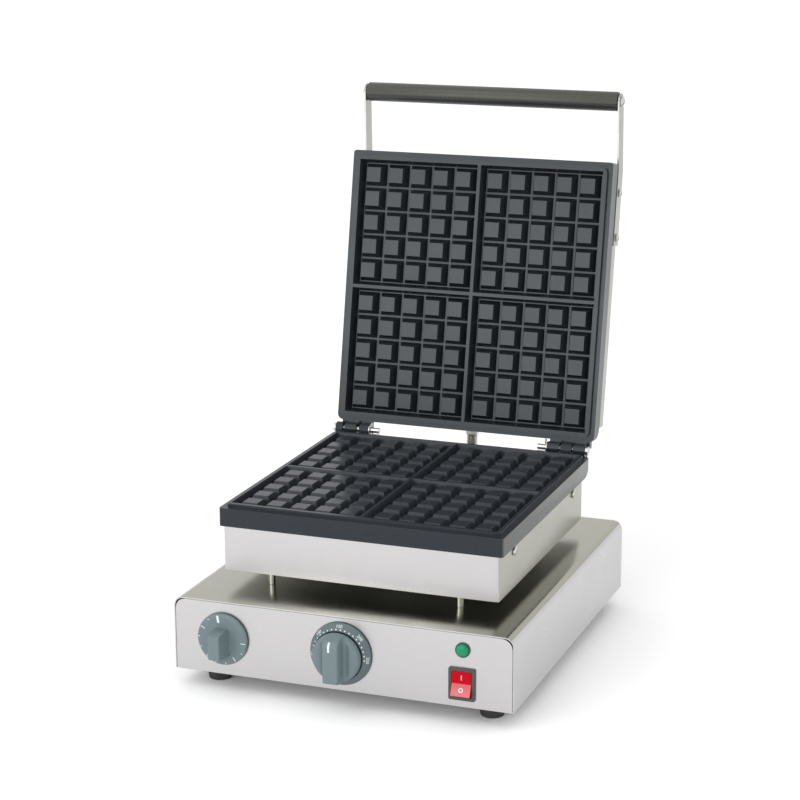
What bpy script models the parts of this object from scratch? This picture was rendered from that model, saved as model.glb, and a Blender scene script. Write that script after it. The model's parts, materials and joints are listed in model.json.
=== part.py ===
"""Four-square belgian waffle iron, open: a steel control base on four feet, a fixed lower casting
on columns, and a lid with the same casting that swings on two hinge pins.

Units are metres. +X is the right side, +Y the back and +Z up. The origin is the centre of the
bounding box's underside. Every lid piece is built closed, round the hinge axis, and hangs from one
empty that holds the open angle.
"""

import math

import bmesh
import bpy
from mathutils import Matrix, Vector

MM = 0.001

# Clearances and cuts
GAP = 0.3 * MM
CUT_OVERRUN = 2 * MM
MERGE = 0.0001 * MM

# Counts round a circle
FINE_SIDES = 36
ROUND_SIDES = 20
SMALL_SIDES = 12
CORNER_STEPS = 4

# Base housing
BASE_WIDTH = 338 * MM
BASE_DEPTH = 370 * MM
BASE_HEIGHT = 72 * MM
BASE_SHEET = 1.2 * MM
BASE_EDGE_RADIUS = 9 * MM
PANEL_CORNER_RADIUS = 10 * MM
PANEL_FLANGE_DEPTH = 12 * MM
PANEL_FLANGE_SETBACK = 14 * MM

# Feet
FOOT_HEIGHT = 17 * MM
FOOT_TOP_RADIUS = 13 * MM
FOOT_BOTTOM_RADIUS = 11 * MM
FOOT_WELL_RADIUS = 6 * MM
FOOT_WELL_DEPTH = 8 * MM
FOOT_INSET_X = 31 * MM
FOOT_INSET_Y = 33 * MM
FOOT_SCREW_RADIUS = 2.5 * MM
FOOT_SCREW_HEAD_RADIUS = 4.5 * MM
FOOT_SCREW_HEAD_HEIGHT = 3 * MM
FOOT_SCREW_TAIL = 4 * MM

# Columns between the base and the lower shroud
COLUMN_RADIUS = 3.4 * MM
COLUMN_STUD_RADIUS = 2.5 * MM
COLUMN_INSET_X = 43 * MM
COLUMN_INSET_Y = 15.5 * MM
COLUMN_COLLAR_RADIUS = 5 * MM
COLUMN_COLLAR_HEIGHT = 3 * MM
COLUMN_GAP_HEIGHT = 14.4 * MM

# Lower shroud and upper cover, folded from the same sheet
SHROUD_SIDE_MARGIN = 30.5 * MM
SHROUD_FRONT_MARGIN = 48.2 * MM
SHROUD_REAR_MARGIN = 47.8 * MM
SHROUD_WIDTH = BASE_WIDTH - 2 * SHROUD_SIDE_MARGIN
SHROUD_DEPTH = BASE_DEPTH - SHROUD_FRONT_MARGIN - SHROUD_REAR_MARGIN
SHROUD_HEIGHT = 43.5 * MM
SHROUD_SHEET = 1 * MM
SHROUD_CORNER_RADIUS = 3 * MM
SHROUD_REAR_INSET = 12.5 * MM
COVER_HEIGHT = 28 * MM
SHROUD_SCREW_FRONT = 44 * MM
SHROUD_SCREW_REAR = 36 * MM
SHROUD_SCREW_DROP = 7.5 * MM
SCREW_BOSS_WIDTH = 12 * MM
LEAD_HOLE_RADIUS = 9 * MM
LEAD_HOLE_INSET_Y = 60 * MM

# Cast baking plates
PLATE_SIDE_OVERHANG = 4 * MM
PLATE_FRONT_OVERHANG = 1.5 * MM
PLATE_WIDTH = SHROUD_WIDTH + 2 * PLATE_SIDE_OVERHANG
PLATE_DEPTH = SHROUD_DEPTH + PLATE_FRONT_OVERHANG + SHROUD_REAR_INSET
PLATE_FRONT_RADIUS = 3 * MM
PLATE_REAR_RADIUS = 6 * MM
PLATE_BACK_ROUND = 18 * MM
PLATE_UNDERSIDE = 22 * MM
LEDGE_DROP = 4 * MM
LEDGE_SIDE = 5 * MM
LEDGE_END = 5.3 * MM
RIM_TOP_WIDTH = 4.2 * MM
RIM_CORNER_RADIUS = 6 * MM
RIB_TOP_WIDTH = 3.4 * MM
POCKET_DEPTH = 12.2 * MM
POCKET_DRAFT = 3.2 * MM
STUD_ROWS = 5
CHANNEL_TOP_WIDTH = 10 * MM
STUD_DRAFT = 4 * MM
STUD_HEIGHT = 11 * MM
STUD_SINK = 1 * MM

# Hinge
HINGE_TO_PLATE = 8.5 * MM
LID_OPEN_DEG = 101
LUG_RADIUS = 6.3 * MM
LUG_BACK = 9 * MM
LUG_ROOT = 14.5 * MM
LUG_ROOT_IN = 6 * MM
STOP_REACH = 8 * MM
HINGE_PIN_RADIUS = 3 * MM
HINGE_BORE_CLEARANCE = 0.1 * MM
PIN_HEAD_RADIUS = 4.6 * MM
PIN_HEAD_HEIGHT = 3 * MM
PIN_TAIL = 10 * MM
WASHER_RADIUS = 6.2 * MM
WASHER_THICKNESS = 1.1 * MM
COTTER_WIRE_RADIUS = 0.8 * MM
COTTER_EYE_RADIUS = 1.8 * MM
COTTER_LEG = 9 * MM
COTTER_EYE_START_DEG = 200
COTTER_HOLE_RADIUS = 1.2 * MM
LEFT_PIN_INSETS = (2 * MM, 39.2 * MM)
RIGHT_PIN_INSETS = (7.2 * MM, 47.1 * MM)
LOWER_LEFT_LUG_INSETS = ((2 * MM, 9.5 * MM), (28.7 * MM, 39.2 * MM))
LOWER_RIGHT_LUG_INSETS = ((21.1 * MM, 32.7 * MM),)
UPPER_LEFT_LUG_INSETS = ((12.3 * MM, 25.1 * MM),)
UPPER_RIGHT_LUG_INSETS = ((7.2 * MM, 19.5 * MM), (34.5 * MM, 47.1 * MM))
LEFT_BOSS_INSETS = (4.9 * MM, 38.2 * MM)
RIGHT_BOSS_INSETS = (4.9 * MM, 47.9 * MM)
BOSS_REACH = 6.8 * MM
BOSS_FLOOR = 7 * MM

# Heating elements
HEATER_RADIUS = 4 * MM
HEATER_BEND_RADIUS = 16 * MM
HEATER_SIDE_INSET = 34.5 * MM
HEATER_INNER_X = 34 * MM
HEATER_FRONT_INSET = 44 * MM
HEATER_REAR_INSET = 40 * MM
HEATER_END_INSET = 66 * MM
CLAMP_SIDE_MARGIN = 20.5 * MM
CLAMP_END_MARGIN = 39 * MM
CLAMP_THICKNESS = 3 * MM
CLAMP_CORNER_RADIUS = 8 * MM

# Handle
ARM_WIDTH = 17 * MM
ARM_THICKNESS = 2 * MM
ARM_FOOT_BEHIND_FRONT = 84.5 * MM
ARM_KINK_BEHIND_FRONT = 6.5 * MM
GRIP_BEYOND_FRONT = 63.5 * MM
GRIP_LIFT = 25.7 * MM
GRIP_RADIUS = 10 * MM
GRIP_END_ROUND = 1.5 * MM
ARM_SCREWS_BEHIND_FRONT = (76 * MM, 29.5 * MM)
SCREW_RADIUS = 2.2 * MM
SCREW_HEAD_RADIUS = 4.2 * MM
SCREW_HEAD_HEIGHT = 2.4 * MM
SCREW_LENGTH = 9 * MM
GRIP_SCREW_RADIUS = 3 * MM
GRIP_SCREW_HEAD_RADIUS = 5.5 * MM
GRIP_SCREW_LENGTH = 18 * MM

# Flexible conduit with the lid's leads
GLAND_FLATS = 12 * MM
GLAND_NUT_LENGTH = 6.6 * MM
GLAND_FLANGE_THICKNESS = 3 * MM
GLAND_EXIT = 18 * MM
OUTLET_EXIT = 12 * MM
GLAND_BORE_RADIUS = 4 * MM
GLAND_SPIGOT_RADIUS = 5.2 * MM
GLAND_SPIGOT_LENGTH = 6 * MM
GLAND_BEHIND_PLATE = 14 * MM
BASE_GLAND_BELOW_TOP = 28 * MM
CONDUIT_RIB_RADIUS = 6.2 * MM
CONDUIT_ROOT_RADIUS = 5.4 * MM
CONDUIT_BORE_RADIUS = 3.6 * MM
CONDUIT_RIBS = 48
CONDUIT_BULGE = 62 * MM
CONDUIT_BORE_STEPS = 22

# Mains gland
MAINS_GLAND_RADIUS = 11 * MM
MAINS_GLAND_LENGTH = 14 * MM
MAINS_GLAND_BORE = 4.5 * MM
MAINS_GLAND_INSET_X = 55 * MM
MAINS_GLAND_RISE = 24 * MM

# Timer
TIMER_INSET_X = 51 * MM
TIMER_RISE_SHARE = 0.4972
TIMER_DISC_RADIUS = 26.1 * MM
TIMER_DISC_THICKNESS = 4 * MM
TIMER_DISC_BEVEL = 1.5 * MM
TIMER_BOSS_RADIUS = 14 * MM
TIMER_BOSS_HEIGHT = 13 * MM
TIMER_FIN_HEIGHT = 24 * MM
TIMER_FIN_LENGTH = 27 * MM
TIMER_FIN_WIDTH = 15 * MM
TIMER_FIN_DROP = 2.4 * MM
TIMER_BODY_SIDE = 44 * MM
TIMER_BODY_DEPTH = 34 * MM

# Thermostat
THERMOSTAT_X = 1.6 * MM
LEAD_HOLE_X = THERMOSTAT_X
THERMOSTAT_RISE_SHARE = 0.5083
RING_RADIUS = 30.7 * MM
RING_THICKNESS = 4.5 * MM
RING_LIP_HEIGHT = 8.6 * MM
RING_EDGE_HEIGHT = 2 * MM
RING_WELL_RADIUS = 24.3 * MM
RING_WELL_DEPTH = 2 * MM
KNOB_RADIUS = 23.6 * MM
KNOB_HEIGHT = 13 * MM
KNOB_BEVEL = 4.4 * MM
KNOB_FIN_HEIGHT = 29.5 * MM
KNOB_FIN_WIDTH = 17 * MM
KNOB_FIN_LENGTH = 42 * MM
THERMOSTAT_BODY_RADIUS = 19 * MM
THERMOSTAT_BODY_DEPTH = 36 * MM
CAPILLARY_RADIUS = 1.2 * MM
BULB_RADIUS = 3 * MM
BULB_LENGTH = 76 * MM

# Shafts that carry both knobs
SHAFT_RADIUS = 3 * MM
SHAFT_LENGTH = 14 * MM
KNOB_LIFT = 1.2 * MM
FIN_TAPER_SHARE = 0.84
BOSS_TOP_SHARE = 0.72

# Pilot lamp
LAMP_INSET_X = 48.7 * MM
LAMP_RISE_SHARE = 0.7667
LAMP_RIM_RADIUS = 7.1 * MM
LAMP_RIM_HEIGHT = 1.6 * MM
LAMP_LENS_RADIUS = 6.2 * MM
LAMP_LENS_HEIGHT = 3.2 * MM
LAMP_BODY_RADIUS = 5.2 * MM
LAMP_BODY_LENGTH = 22 * MM

# Rocker switch
SWITCH_INSET_X = 49.3 * MM
SWITCH_RISE_SHARE = 0.3111
BEZEL_WIDTH = 25.4 * MM
BEZEL_HEIGHT = 31 * MM
BEZEL_THICKNESS = 2.2 * MM
BEZEL_BORDER = 3 * MM
BEZEL_CORNER_RADIUS = 1.5 * MM
SWITCH_BODY_DEPTH = 26 * MM
SWITCH_BODY_INSET = 1.8 * MM
ROCKER_WELL_DEPTH = 9 * MM
ROCKER_CLEARANCE = 0.5 * MM
ROCKER_PIVOT_DEPTH = 3.5 * MM
ROCKER_TIP_RISE = 2.6 * MM
ROCKER_BACK = 2.5 * MM
ROCKER_BACK_SHARE = 0.72
ROCKER_STUB = 1.6 * MM
ROCKER_STUB_RADIUS = 1.3 * MM
ROCKER_TILT_DEG = 11

# Terminal block on the floor
TERMINAL_SIZE = (64 * MM, 22 * MM, 20 * MM)
TERMINAL_INSET_X = 99 * MM
TERMINAL_INSET_Y = 60 * MM
TERMINAL_BEVEL = 2 * MM

# Places that follow from the sizes above
BASE_Z = FOOT_HEIGHT + GAP
BASE_TOP_Z = BASE_Z + BASE_HEIGHT
SHROUD_Z = BASE_TOP_Z + COLUMN_GAP_HEIGHT
PLATE_BOTTOM_Z = SHROUD_Z + SHROUD_HEIGHT + GAP
HINGE_Z = PLATE_BOTTOM_Z + PLATE_UNDERSIDE
PLATE_FRONT_Y = SHROUD_FRONT_MARGIN - PLATE_FRONT_OVERHANG
HINGE_Y = PLATE_FRONT_Y + PLATE_DEPTH + HINGE_TO_PLATE
PLATE_MID = HINGE_TO_PLATE + PLATE_DEPTH / 2
PLATE_FRONT_REACH = HINGE_TO_PLATE + PLATE_DEPTH
SHROUD_REAR = HINGE_TO_PLATE + SHROUD_REAR_INSET
SHROUD_MID = SHROUD_REAR + SHROUD_DEPTH / 2
COLUMN_SPREAD_X = SHROUD_WIDTH / 2 - COLUMN_INSET_X
RIM_HALVES = (PLATE_WIDTH / 2 - LEDGE_SIDE, PLATE_DEPTH / 2 - LEDGE_END)
POCKET_TOPS = tuple(half - RIM_TOP_WIDTH - RIB_TOP_WIDTH / 2 for half in RIM_HALVES)
STUD_PITCHES = tuple((top - 2 * POCKET_DRAFT) / STUD_ROWS for top in POCKET_TOPS)
STUD_TOPS = tuple(pitch - CHANNEL_TOP_WIDTH for pitch in STUD_PITCHES)
HEATER_OUTER_X = SHROUD_WIDTH / 2 - HEATER_SIDE_INSET
CLAMP_WIDTH = SHROUD_WIDTH - 2 * CLAMP_SIDE_MARGIN
CLAMP_DEPTH = SHROUD_DEPTH - 2 * CLAMP_END_MARGIN
ARM_FOOT_REACH = PLATE_FRONT_REACH - ARM_FOOT_BEHIND_FRONT
ARM_KINK_REACH = PLATE_FRONT_REACH - ARM_KINK_BEHIND_FRONT
ARM_SCREW_REACHES = tuple(PLATE_FRONT_REACH - behind for behind in ARM_SCREWS_BEHIND_FRONT)
GRIP_REACH = PLATE_FRONT_REACH + GRIP_BEYOND_FRONT
TIMER_X = -BASE_WIDTH / 2 + TIMER_INSET_X
LAMP_X = BASE_WIDTH / 2 - LAMP_INSET_X
SWITCH_X = BASE_WIDTH / 2 - SWITCH_INSET_X
TERMINAL_X = BASE_WIDTH / 2 - TERMINAL_INSET_X
TIMER_Z = BASE_Z + BASE_HEIGHT * TIMER_RISE_SHARE
THERMOSTAT_Z = BASE_Z + BASE_HEIGHT * THERMOSTAT_RISE_SHARE
LAMP_Z = BASE_Z + BASE_HEIGHT * LAMP_RISE_SHARE
SWITCH_Z = BASE_Z + BASE_HEIGHT * SWITCH_RISE_SHARE
GLAND_LIFT = PLATE_UNDERSIDE + GLAND_BEHIND_PLATE
OUTLET_Z = BASE_TOP_Z - BASE_GLAND_BELOW_TOP
TURN_TO_FRONT = Matrix.Rotation(math.radians(90), 4, "X")
TURN_TO_BACK = Matrix.Rotation(math.radians(-90), 4, "X")
TURN_TO_RIGHT = Matrix.Rotation(math.radians(90), 4, "Y")
TURN_TO_LEFT = Matrix.Rotation(math.radians(-90), 4, "Y")
TURN_OVER = Matrix.Rotation(math.radians(180), 4, "Y")
SIDES = (("left", -1, TURN_TO_LEFT), ("right", 1, TURN_TO_RIGHT))
LID_SIDES = (("right", -1, TURN_TO_LEFT), ("left", 1, TURN_TO_RIGHT))

STAINLESS = ("stainless", (0.62, 0.62, 0.61), 0.32, 1.0)
CAST_BLACK = ("cast_black", (0.035, 0.038, 0.042), 0.5, 0.3)
RUBBER = ("foot_rubber", (0.03, 0.03, 0.03), 0.8, 0.0)
GRIP_PLASTIC = ("grip_plastic", (0.09, 0.09, 0.08), 0.5, 0.0)
KNOB_GREY = ("knob_grey", (0.17, 0.22, 0.24), 0.45, 0.0)
LENS_GREEN = ("lens_green", (0.01, 0.32, 0.15), 0.15, 0.0)
BLACK_PLASTIC = ("black_plastic", (0.06, 0.06, 0.055), 0.5, 0.0)
ROCKER_RED = ("rocker_red", (0.6, 0.01, 0.02), 0.25, 0.0)
ZINC = ("zinc", (0.7, 0.69, 0.66), 0.35, 1.0)
HEATER_STEEL = ("heater_steel", (0.2, 0.19, 0.18), 0.5, 1.0)
CERAMIC = ("ceramic", (0.8, 0.78, 0.72), 0.6, 0.0)


def clear_scene():
    for obj in list(bpy.data.objects):
        bpy.data.objects.remove(obj, do_unlink=True)


def new_collection(name, hidden=False):
    collection = bpy.data.collections.new(name)
    bpy.context.scene.collection.children.link(collection)
    collection.hide_render = hidden
    return collection


clear_scene()
PARTS = new_collection("belgian_waffle_iron")
CUTTERS = new_collection("cutters", hidden=True)


def material(kind):
    name, colour, roughness, metallic = kind
    found = bpy.data.materials.get(name)
    if found:
        return found
    made = bpy.data.materials.new(name)
    made.use_nodes = True
    shader = made.node_tree.nodes["Principled BSDF"]
    shader.inputs["Base Color"].default_value = (*colour, 1)
    shader.inputs["Roughness"].default_value = roughness
    shader.inputs["Metallic"].default_value = metallic
    return made


def add_part(name, mesh, kind, parent=None):
    mesh.name = name
    mesh.materials.clear()
    mesh.materials.append(material(kind))
    mesh.shade_smooth()
    mesh.set_sharp_from_angle(angle=math.radians(35))
    obj = bpy.data.objects.new(name, mesh)
    PARTS.objects.link(obj)
    obj.parent = parent
    return obj


def add_cutter(name, mesh, parent=None):
    obj = bpy.data.objects.new(name, mesh)
    CUTTERS.objects.link(obj)
    obj.hide_render = True
    obj.display_type = "WIRE"
    obj.parent = parent
    return obj


def boolean(obj, tool, operation):
    modifier = obj.modifiers.new(operation.lower(), "BOOLEAN")
    modifier.operation = operation
    modifier.object = tool
    modifier.solver = "EXACT"
    return obj


def cut(obj, mesh):
    return boolean(obj, add_cutter(obj.name + "_cut", mesh, obj.parent), "DIFFERENCE")


def join(obj, mesh):
    return boolean(obj, add_cutter(obj.name + "_add", mesh, obj.parent), "UNION")


def mesh_of(bm, name="shape"):
    bmesh.ops.recalc_face_normals(bm, faces=bm.faces)
    mesh = bpy.data.meshes.new(name)
    bm.to_mesh(mesh)
    bm.free()
    return mesh


def together(*meshes):
    """Separate shells in one mesh, for a tool that cuts or adds all of them at once."""
    bm = bmesh.new()
    for mesh in meshes:
        bm.from_mesh(mesh)
    return mesh_of(bm)


def moved(mesh, x=0, y=0, z=0):
    mesh.transform(Matrix.Translation((x, y, z)))
    return mesh


def turned(mesh, turn):
    mesh.transform(turn)
    return mesh


def box(x_span, y_span, z_span):
    spans = (x_span, y_span, z_span)
    bm = bmesh.new()
    bmesh.ops.create_cube(bm, size=1)
    bmesh.ops.scale(bm, vec=[max(s) - min(s) for s in spans], verts=bm.verts)
    bmesh.ops.translate(bm, vec=[sum(s) / 2 for s in spans], verts=bm.verts)
    return mesh_of(bm)


def cone(radius_low, radius_high, low, high, sides=ROUND_SIDES):
    """A frustum round Z from low to high."""
    bm = bmesh.new()
    bmesh.ops.create_cone(
        bm, cap_ends=True, segments=sides, radius1=radius_low, radius2=radius_high, depth=high - low
    )
    bmesh.ops.translate(bm, vec=(0, 0, (low + high) / 2), verts=bm.verts)
    return mesh_of(bm)


def rod(radius, low, high, sides=ROUND_SIDES):
    return cone(radius, radius, low, high, sides)


def frustum(sides_low, sides_high, low, high):
    """A block round Z whose two sides change from sides_low to sides_high."""
    bm = bmesh.new()
    bmesh.ops.create_cube(bm, size=1)
    for vert in bm.verts:
        sides, height = (sides_high, high) if vert.co.z > 0 else (sides_low, low)
        vert.co = (vert.co.x * sides[0], vert.co.y * sides[1], height)
    return mesh_of(bm)


def arc(centre, radius, start_deg, end_deg, steps=CORNER_STEPS):
    points = []
    for i in range(steps + 1):
        angle = math.radians(start_deg + (end_deg - start_deg) * i / steps)
        points.append((centre[0] + radius * math.cos(angle), centre[1] + radius * math.sin(angle)))
    return points


def rounded_outline(x_span, y_span, radii):
    """A rectangle with a radius for each corner: low left, low right, high right, high left."""
    (x0, x1), (y0, y1) = x_span, y_span
    corners = ((x0, y0, 1, 1, 180), (x1, y0, -1, 1, 270), (x1, y1, -1, -1, 0), (x0, y1, 1, -1, 90))
    points = []
    for (x, y, into_x, into_y, start), radius in zip(corners, radii):
        if radius:
            centre = (x + into_x * radius, y + into_y * radius)
            points += arc(centre, radius, start, start + 90)
        else:
            points.append((x, y))
    return points


def outline_solid(points, low, high):
    """A flat outline in XY, extruded along Z from low to high."""
    curve = bpy.data.curves.new("outline", "CURVE")
    curve.dimensions = "2D"
    curve.fill_mode = "BOTH"
    curve.extrude = (high - low) / 2
    spline = curve.splines.new("POLY")
    spline.points.add(len(points) - 1)
    for point, (x, y) in zip(spline.points, points):
        point.co = (x, y, 0, 1)
    spline.use_cyclic_u = True
    mesh = mesh_from_curve(curve)
    return moved(mesh, z=(low + high) / 2)


def mesh_from_curve(curve):
    guide = bpy.data.objects.new("guide", curve)
    bpy.context.scene.collection.objects.link(guide)
    graph = bpy.context.evaluated_depsgraph_get()
    mesh = bpy.data.meshes.new_from_object(guide.evaluated_get(graph))
    bpy.data.objects.remove(guide, do_unlink=True)
    bm = bmesh.new()
    bm.from_mesh(mesh)
    bmesh.ops.remove_doubles(bm, verts=bm.verts, dist=MERGE)
    return mesh_of(bm)


def side_solid(points, x_low, x_high):
    """An outline in YZ, extruded along X."""
    mesh = outline_solid(points, x_low, x_high)
    stand = Matrix(((0, 0, 1, 0), (1, 0, 0, 0), (0, 1, 0, 0), (0, 0, 0, 1)))
    return turned(mesh, stand)


def front_solid(points, y_low, y_high):
    """An outline in XZ, extruded along Y."""
    mesh = outline_solid(points, -y_high, -y_low)
    return turned(mesh, TURN_TO_FRONT)


def tube(points, radius, radii_shares=None, sides_level=2):
    """A bent rod along points; radii_shares vary its radius from point to point."""
    curve = bpy.data.curves.new("tube", "CURVE")
    curve.dimensions = "3D"
    curve.bevel_depth = radius
    curve.bevel_resolution = sides_level
    curve.use_fill_caps = True
    spline = curve.splines.new("POLY")
    spline.points.add(len(points) - 1)
    for i, point in enumerate(points):
        spline.points[i].co = (*point, 1)
        spline.points[i].radius = radii_shares[i] if radii_shares else 1
    return mesh_from_curve(curve)


def rounded_path(points, radius, steps=CORNER_STEPS):
    """The points with each inner corner replaced by a bend."""
    points = [Vector(p) for p in points]
    path = [points[0]]
    for before, corner, after in zip(points, points[1:], points[2:]):
        back = (before - corner).normalized()
        ahead = (after - corner).normalized()
        reach = radius / math.tan(back.angle(ahead) / 2)
        start = corner + back * reach
        end = corner + ahead * reach
        for i in range(steps + 1):
            t = i / steps
            path.append(start * (1 - t) ** 2 + corner * 2 * t * (1 - t) + end * t ** 2)
    path.append(points[-1])
    return path


def lathe(name, profile, kind, parent=None, sides=ROUND_SIDES):
    """A turned solid round Z. The profile runs from the axis, down its outer side, to the axis."""
    bm = bmesh.new()
    rows = [bm.verts.new((radius, 0, height)) for radius, height in profile]
    for first, second in zip(rows, rows[1:]):
        bm.edges.new((first, second))
    mesh = bpy.data.meshes.new(name)
    bm.to_mesh(mesh)
    bm.free()
    obj = add_part(name, mesh, kind, parent)
    screw = obj.modifiers.new("turn", "SCREW")
    screw.steps = sides
    screw.render_steps = sides
    screw.use_merge_vertices = True
    screw.merge_threshold = MERGE
    screw.use_smooth_shade = True
    return obj


def ring(name, outer, inner, low, high, kind, parent=None, sides=ROUND_SIDES):
    return cut(
        add_part(name, rod(outer, low, high, sides), kind, parent),
        rod(inner, low - CUT_OVERRUN, high + CUT_OVERRUN, sides),
    )


# Base housing


def base_cover():
    half = BASE_WIDTH / 2
    inner = half - BASE_SHEET
    radius = BASE_EDGE_RADIUS
    inside = radius - BASE_SHEET
    top = BASE_TOP_Z
    outline = [(-half, BASE_Z)]
    outline += arc((-half + radius, top - radius), radius, 180, 90)
    outline += arc((half - radius, top - radius), radius, 90, 0)
    outline += [(half, BASE_Z), (inner, BASE_Z)]
    outline += arc((half - radius, top - radius), inside, 0, 90)
    outline += arc((-half + radius, top - radius), inside, 90, 180)
    outline += [(-inner, BASE_Z)]
    cover = add_part("base_cover", front_solid(outline, 0, BASE_DEPTH), STAINLESS)
    span = (top - BASE_SHEET - CUT_OVERRUN, top + CUT_OVERRUN)
    holes = [
        moved(rod(COLUMN_STUD_RADIUS + GAP, *span, SMALL_SIDES), x, y) for _, x, y in column_places()
    ]
    holes.append(moved(rod(LEAD_HOLE_RADIUS, *span, SMALL_SIDES), LEAD_HOLE_X, lead_hole_y()))
    cut(cover, together(*holes))


def lead_hole_y():
    return HINGE_Y - SHROUD_REAR - LEAD_HOLE_INSET_Y


def panel_outline():
    half = BASE_WIDTH / 2 - BASE_SHEET - GAP
    radii = (0, 0, PANEL_CORNER_RADIUS, PANEL_CORNER_RADIUS)
    return rounded_outline((-half, half), (BASE_Z, BASE_TOP_Z - BASE_SHEET - GAP), radii)


def panel_flanges(y_outer, inward):
    """The folded edges behind a front or rear panel, at both sides and the top."""
    half = BASE_WIDTH / 2 - BASE_SHEET - GAP
    top = BASE_TOP_Z - BASE_SHEET - GAP
    span = (y_outer, y_outer + inward * PANEL_FLANGE_DEPTH)
    low = BASE_Z + PANEL_FLANGE_SETBACK
    high = top - PANEL_FLANGE_SETBACK
    across = half - PANEL_FLANGE_SETBACK
    return together(
        box((-half, -half + BASE_SHEET), span, (low, high)),
        box((half - BASE_SHEET, half), span, (low, high)),
        box((-across, across), span, (top - BASE_SHEET, top)),
    )


def front_panel():
    panel = add_part("front_panel", front_solid(panel_outline(), 0, BASE_SHEET), STAINLESS)
    join(panel, panel_flanges(BASE_SHEET / 2, 1))
    span = (-BASE_SHEET - CUT_OVERRUN, CUT_OVERRUN)
    shaft_hole = SHAFT_RADIUS + GAP
    lamp_hole = LAMP_BODY_RADIUS + GAP
    width = BEZEL_WIDTH / 2 - SWITCH_BODY_INSET + GAP
    height = BEZEL_HEIGHT / 2 - SWITCH_BODY_INSET + GAP
    holes = together(
        moved(turned(rod(shaft_hole, *span), TURN_TO_FRONT), TIMER_X, 0, TIMER_Z),
        moved(turned(rod(shaft_hole, *span), TURN_TO_FRONT), THERMOSTAT_X, 0, THERMOSTAT_Z),
        moved(turned(rod(lamp_hole, *span), TURN_TO_FRONT), LAMP_X, 0, LAMP_Z),
        moved(
            box((-width, width), (-CUT_OVERRUN, BASE_SHEET + CUT_OVERRUN), (-height, height)),
            SWITCH_X,
            0,
            SWITCH_Z,
        ),
    )
    cut(panel, holes)


def rear_panel():
    panel = add_part(
        "rear_panel", front_solid(panel_outline(), BASE_DEPTH - BASE_SHEET, BASE_DEPTH), STAINLESS
    )
    join(panel, panel_flanges(BASE_DEPTH - BASE_SHEET / 2, -1))
    span = (-BASE_SHEET - CUT_OVERRUN, CUT_OVERRUN)
    outlet = turned(rod(GLAND_SPIGOT_RADIUS + GAP, *span), TURN_TO_BACK)
    mains = turned(rod(MAINS_GLAND_RADIUS / 2 + GAP, *span), TURN_TO_BACK)
    cut(
        panel,
        together(
            moved(outlet, 0, BASE_DEPTH, OUTLET_Z),
            moved(mains, mains_x(), BASE_DEPTH, BASE_Z + MAINS_GLAND_RISE),
        ),
    )


def mains_x():
    return -BASE_WIDTH / 2 + MAINS_GLAND_INSET_X


def floor_plate():
    half = BASE_WIDTH / 2 - BASE_SHEET - GAP
    y_span = (BASE_SHEET + GAP, BASE_DEPTH - BASE_SHEET - GAP)
    z_span = (BASE_Z, BASE_Z + BASE_SHEET)
    plate = add_part("floor_plate", box((-half, half), y_span, z_span), STAINLESS)
    span = (BASE_Z - CUT_OVERRUN, BASE_Z + BASE_SHEET + CUT_OVERRUN)
    radius = FOOT_SCREW_RADIUS + GAP
    cut(plate, together(*[moved(rod(radius, *span, SMALL_SIDES), x, y) for _, x, y in foot_places()]))


def foot_places():
    x = BASE_WIDTH / 2 - FOOT_INSET_X
    rear = BASE_DEPTH - FOOT_INSET_Y
    return (
        ("front_left", -x, FOOT_INSET_Y),
        ("front_right", x, FOOT_INSET_Y),
        ("rear_left", -x, rear),
        ("rear_right", x, rear),
    )


def feet():
    bore = FOOT_SCREW_RADIUS + GAP
    profile = [
        (bore, FOOT_HEIGHT),
        (FOOT_TOP_RADIUS, FOOT_HEIGHT),
        (FOOT_BOTTOM_RADIUS, 0),
        (FOOT_WELL_RADIUS, 0),
        (FOOT_WELL_RADIUS, FOOT_WELL_DEPTH),
        (bore, FOOT_WELL_DEPTH),
        (bore, FOOT_HEIGHT),
    ]
    head_top = FOOT_WELL_DEPTH - GAP
    screw = [
        (0, BASE_Z + BASE_SHEET + FOOT_SCREW_TAIL),
        (FOOT_SCREW_RADIUS, BASE_Z + BASE_SHEET + FOOT_SCREW_TAIL),
        (FOOT_SCREW_RADIUS, head_top),
        (FOOT_SCREW_HEAD_RADIUS, head_top),
        (FOOT_SCREW_HEAD_RADIUS, head_top - FOOT_SCREW_HEAD_HEIGHT),
        (0, head_top - FOOT_SCREW_HEAD_HEIGHT),
    ]
    for name, x, y in foot_places():
        lathe("foot_" + name, profile, RUBBER).location = (x, y, 0)
        lathe("foot_screw_" + name, screw, ZINC, sides=SMALL_SIDES).location = (x, y, 0)


def column_places():
    rear = HINGE_Y - SHROUD_REAR - COLUMN_INSET_Y
    front = HINGE_Y - SHROUD_REAR - SHROUD_DEPTH + COLUMN_INSET_Y
    return (
        ("front_left", -COLUMN_SPREAD_X, front),
        ("front_right", COLUMN_SPREAD_X, front),
        ("rear_left", -COLUMN_SPREAD_X, rear),
        ("rear_right", COLUMN_SPREAD_X, rear),
    )


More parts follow.
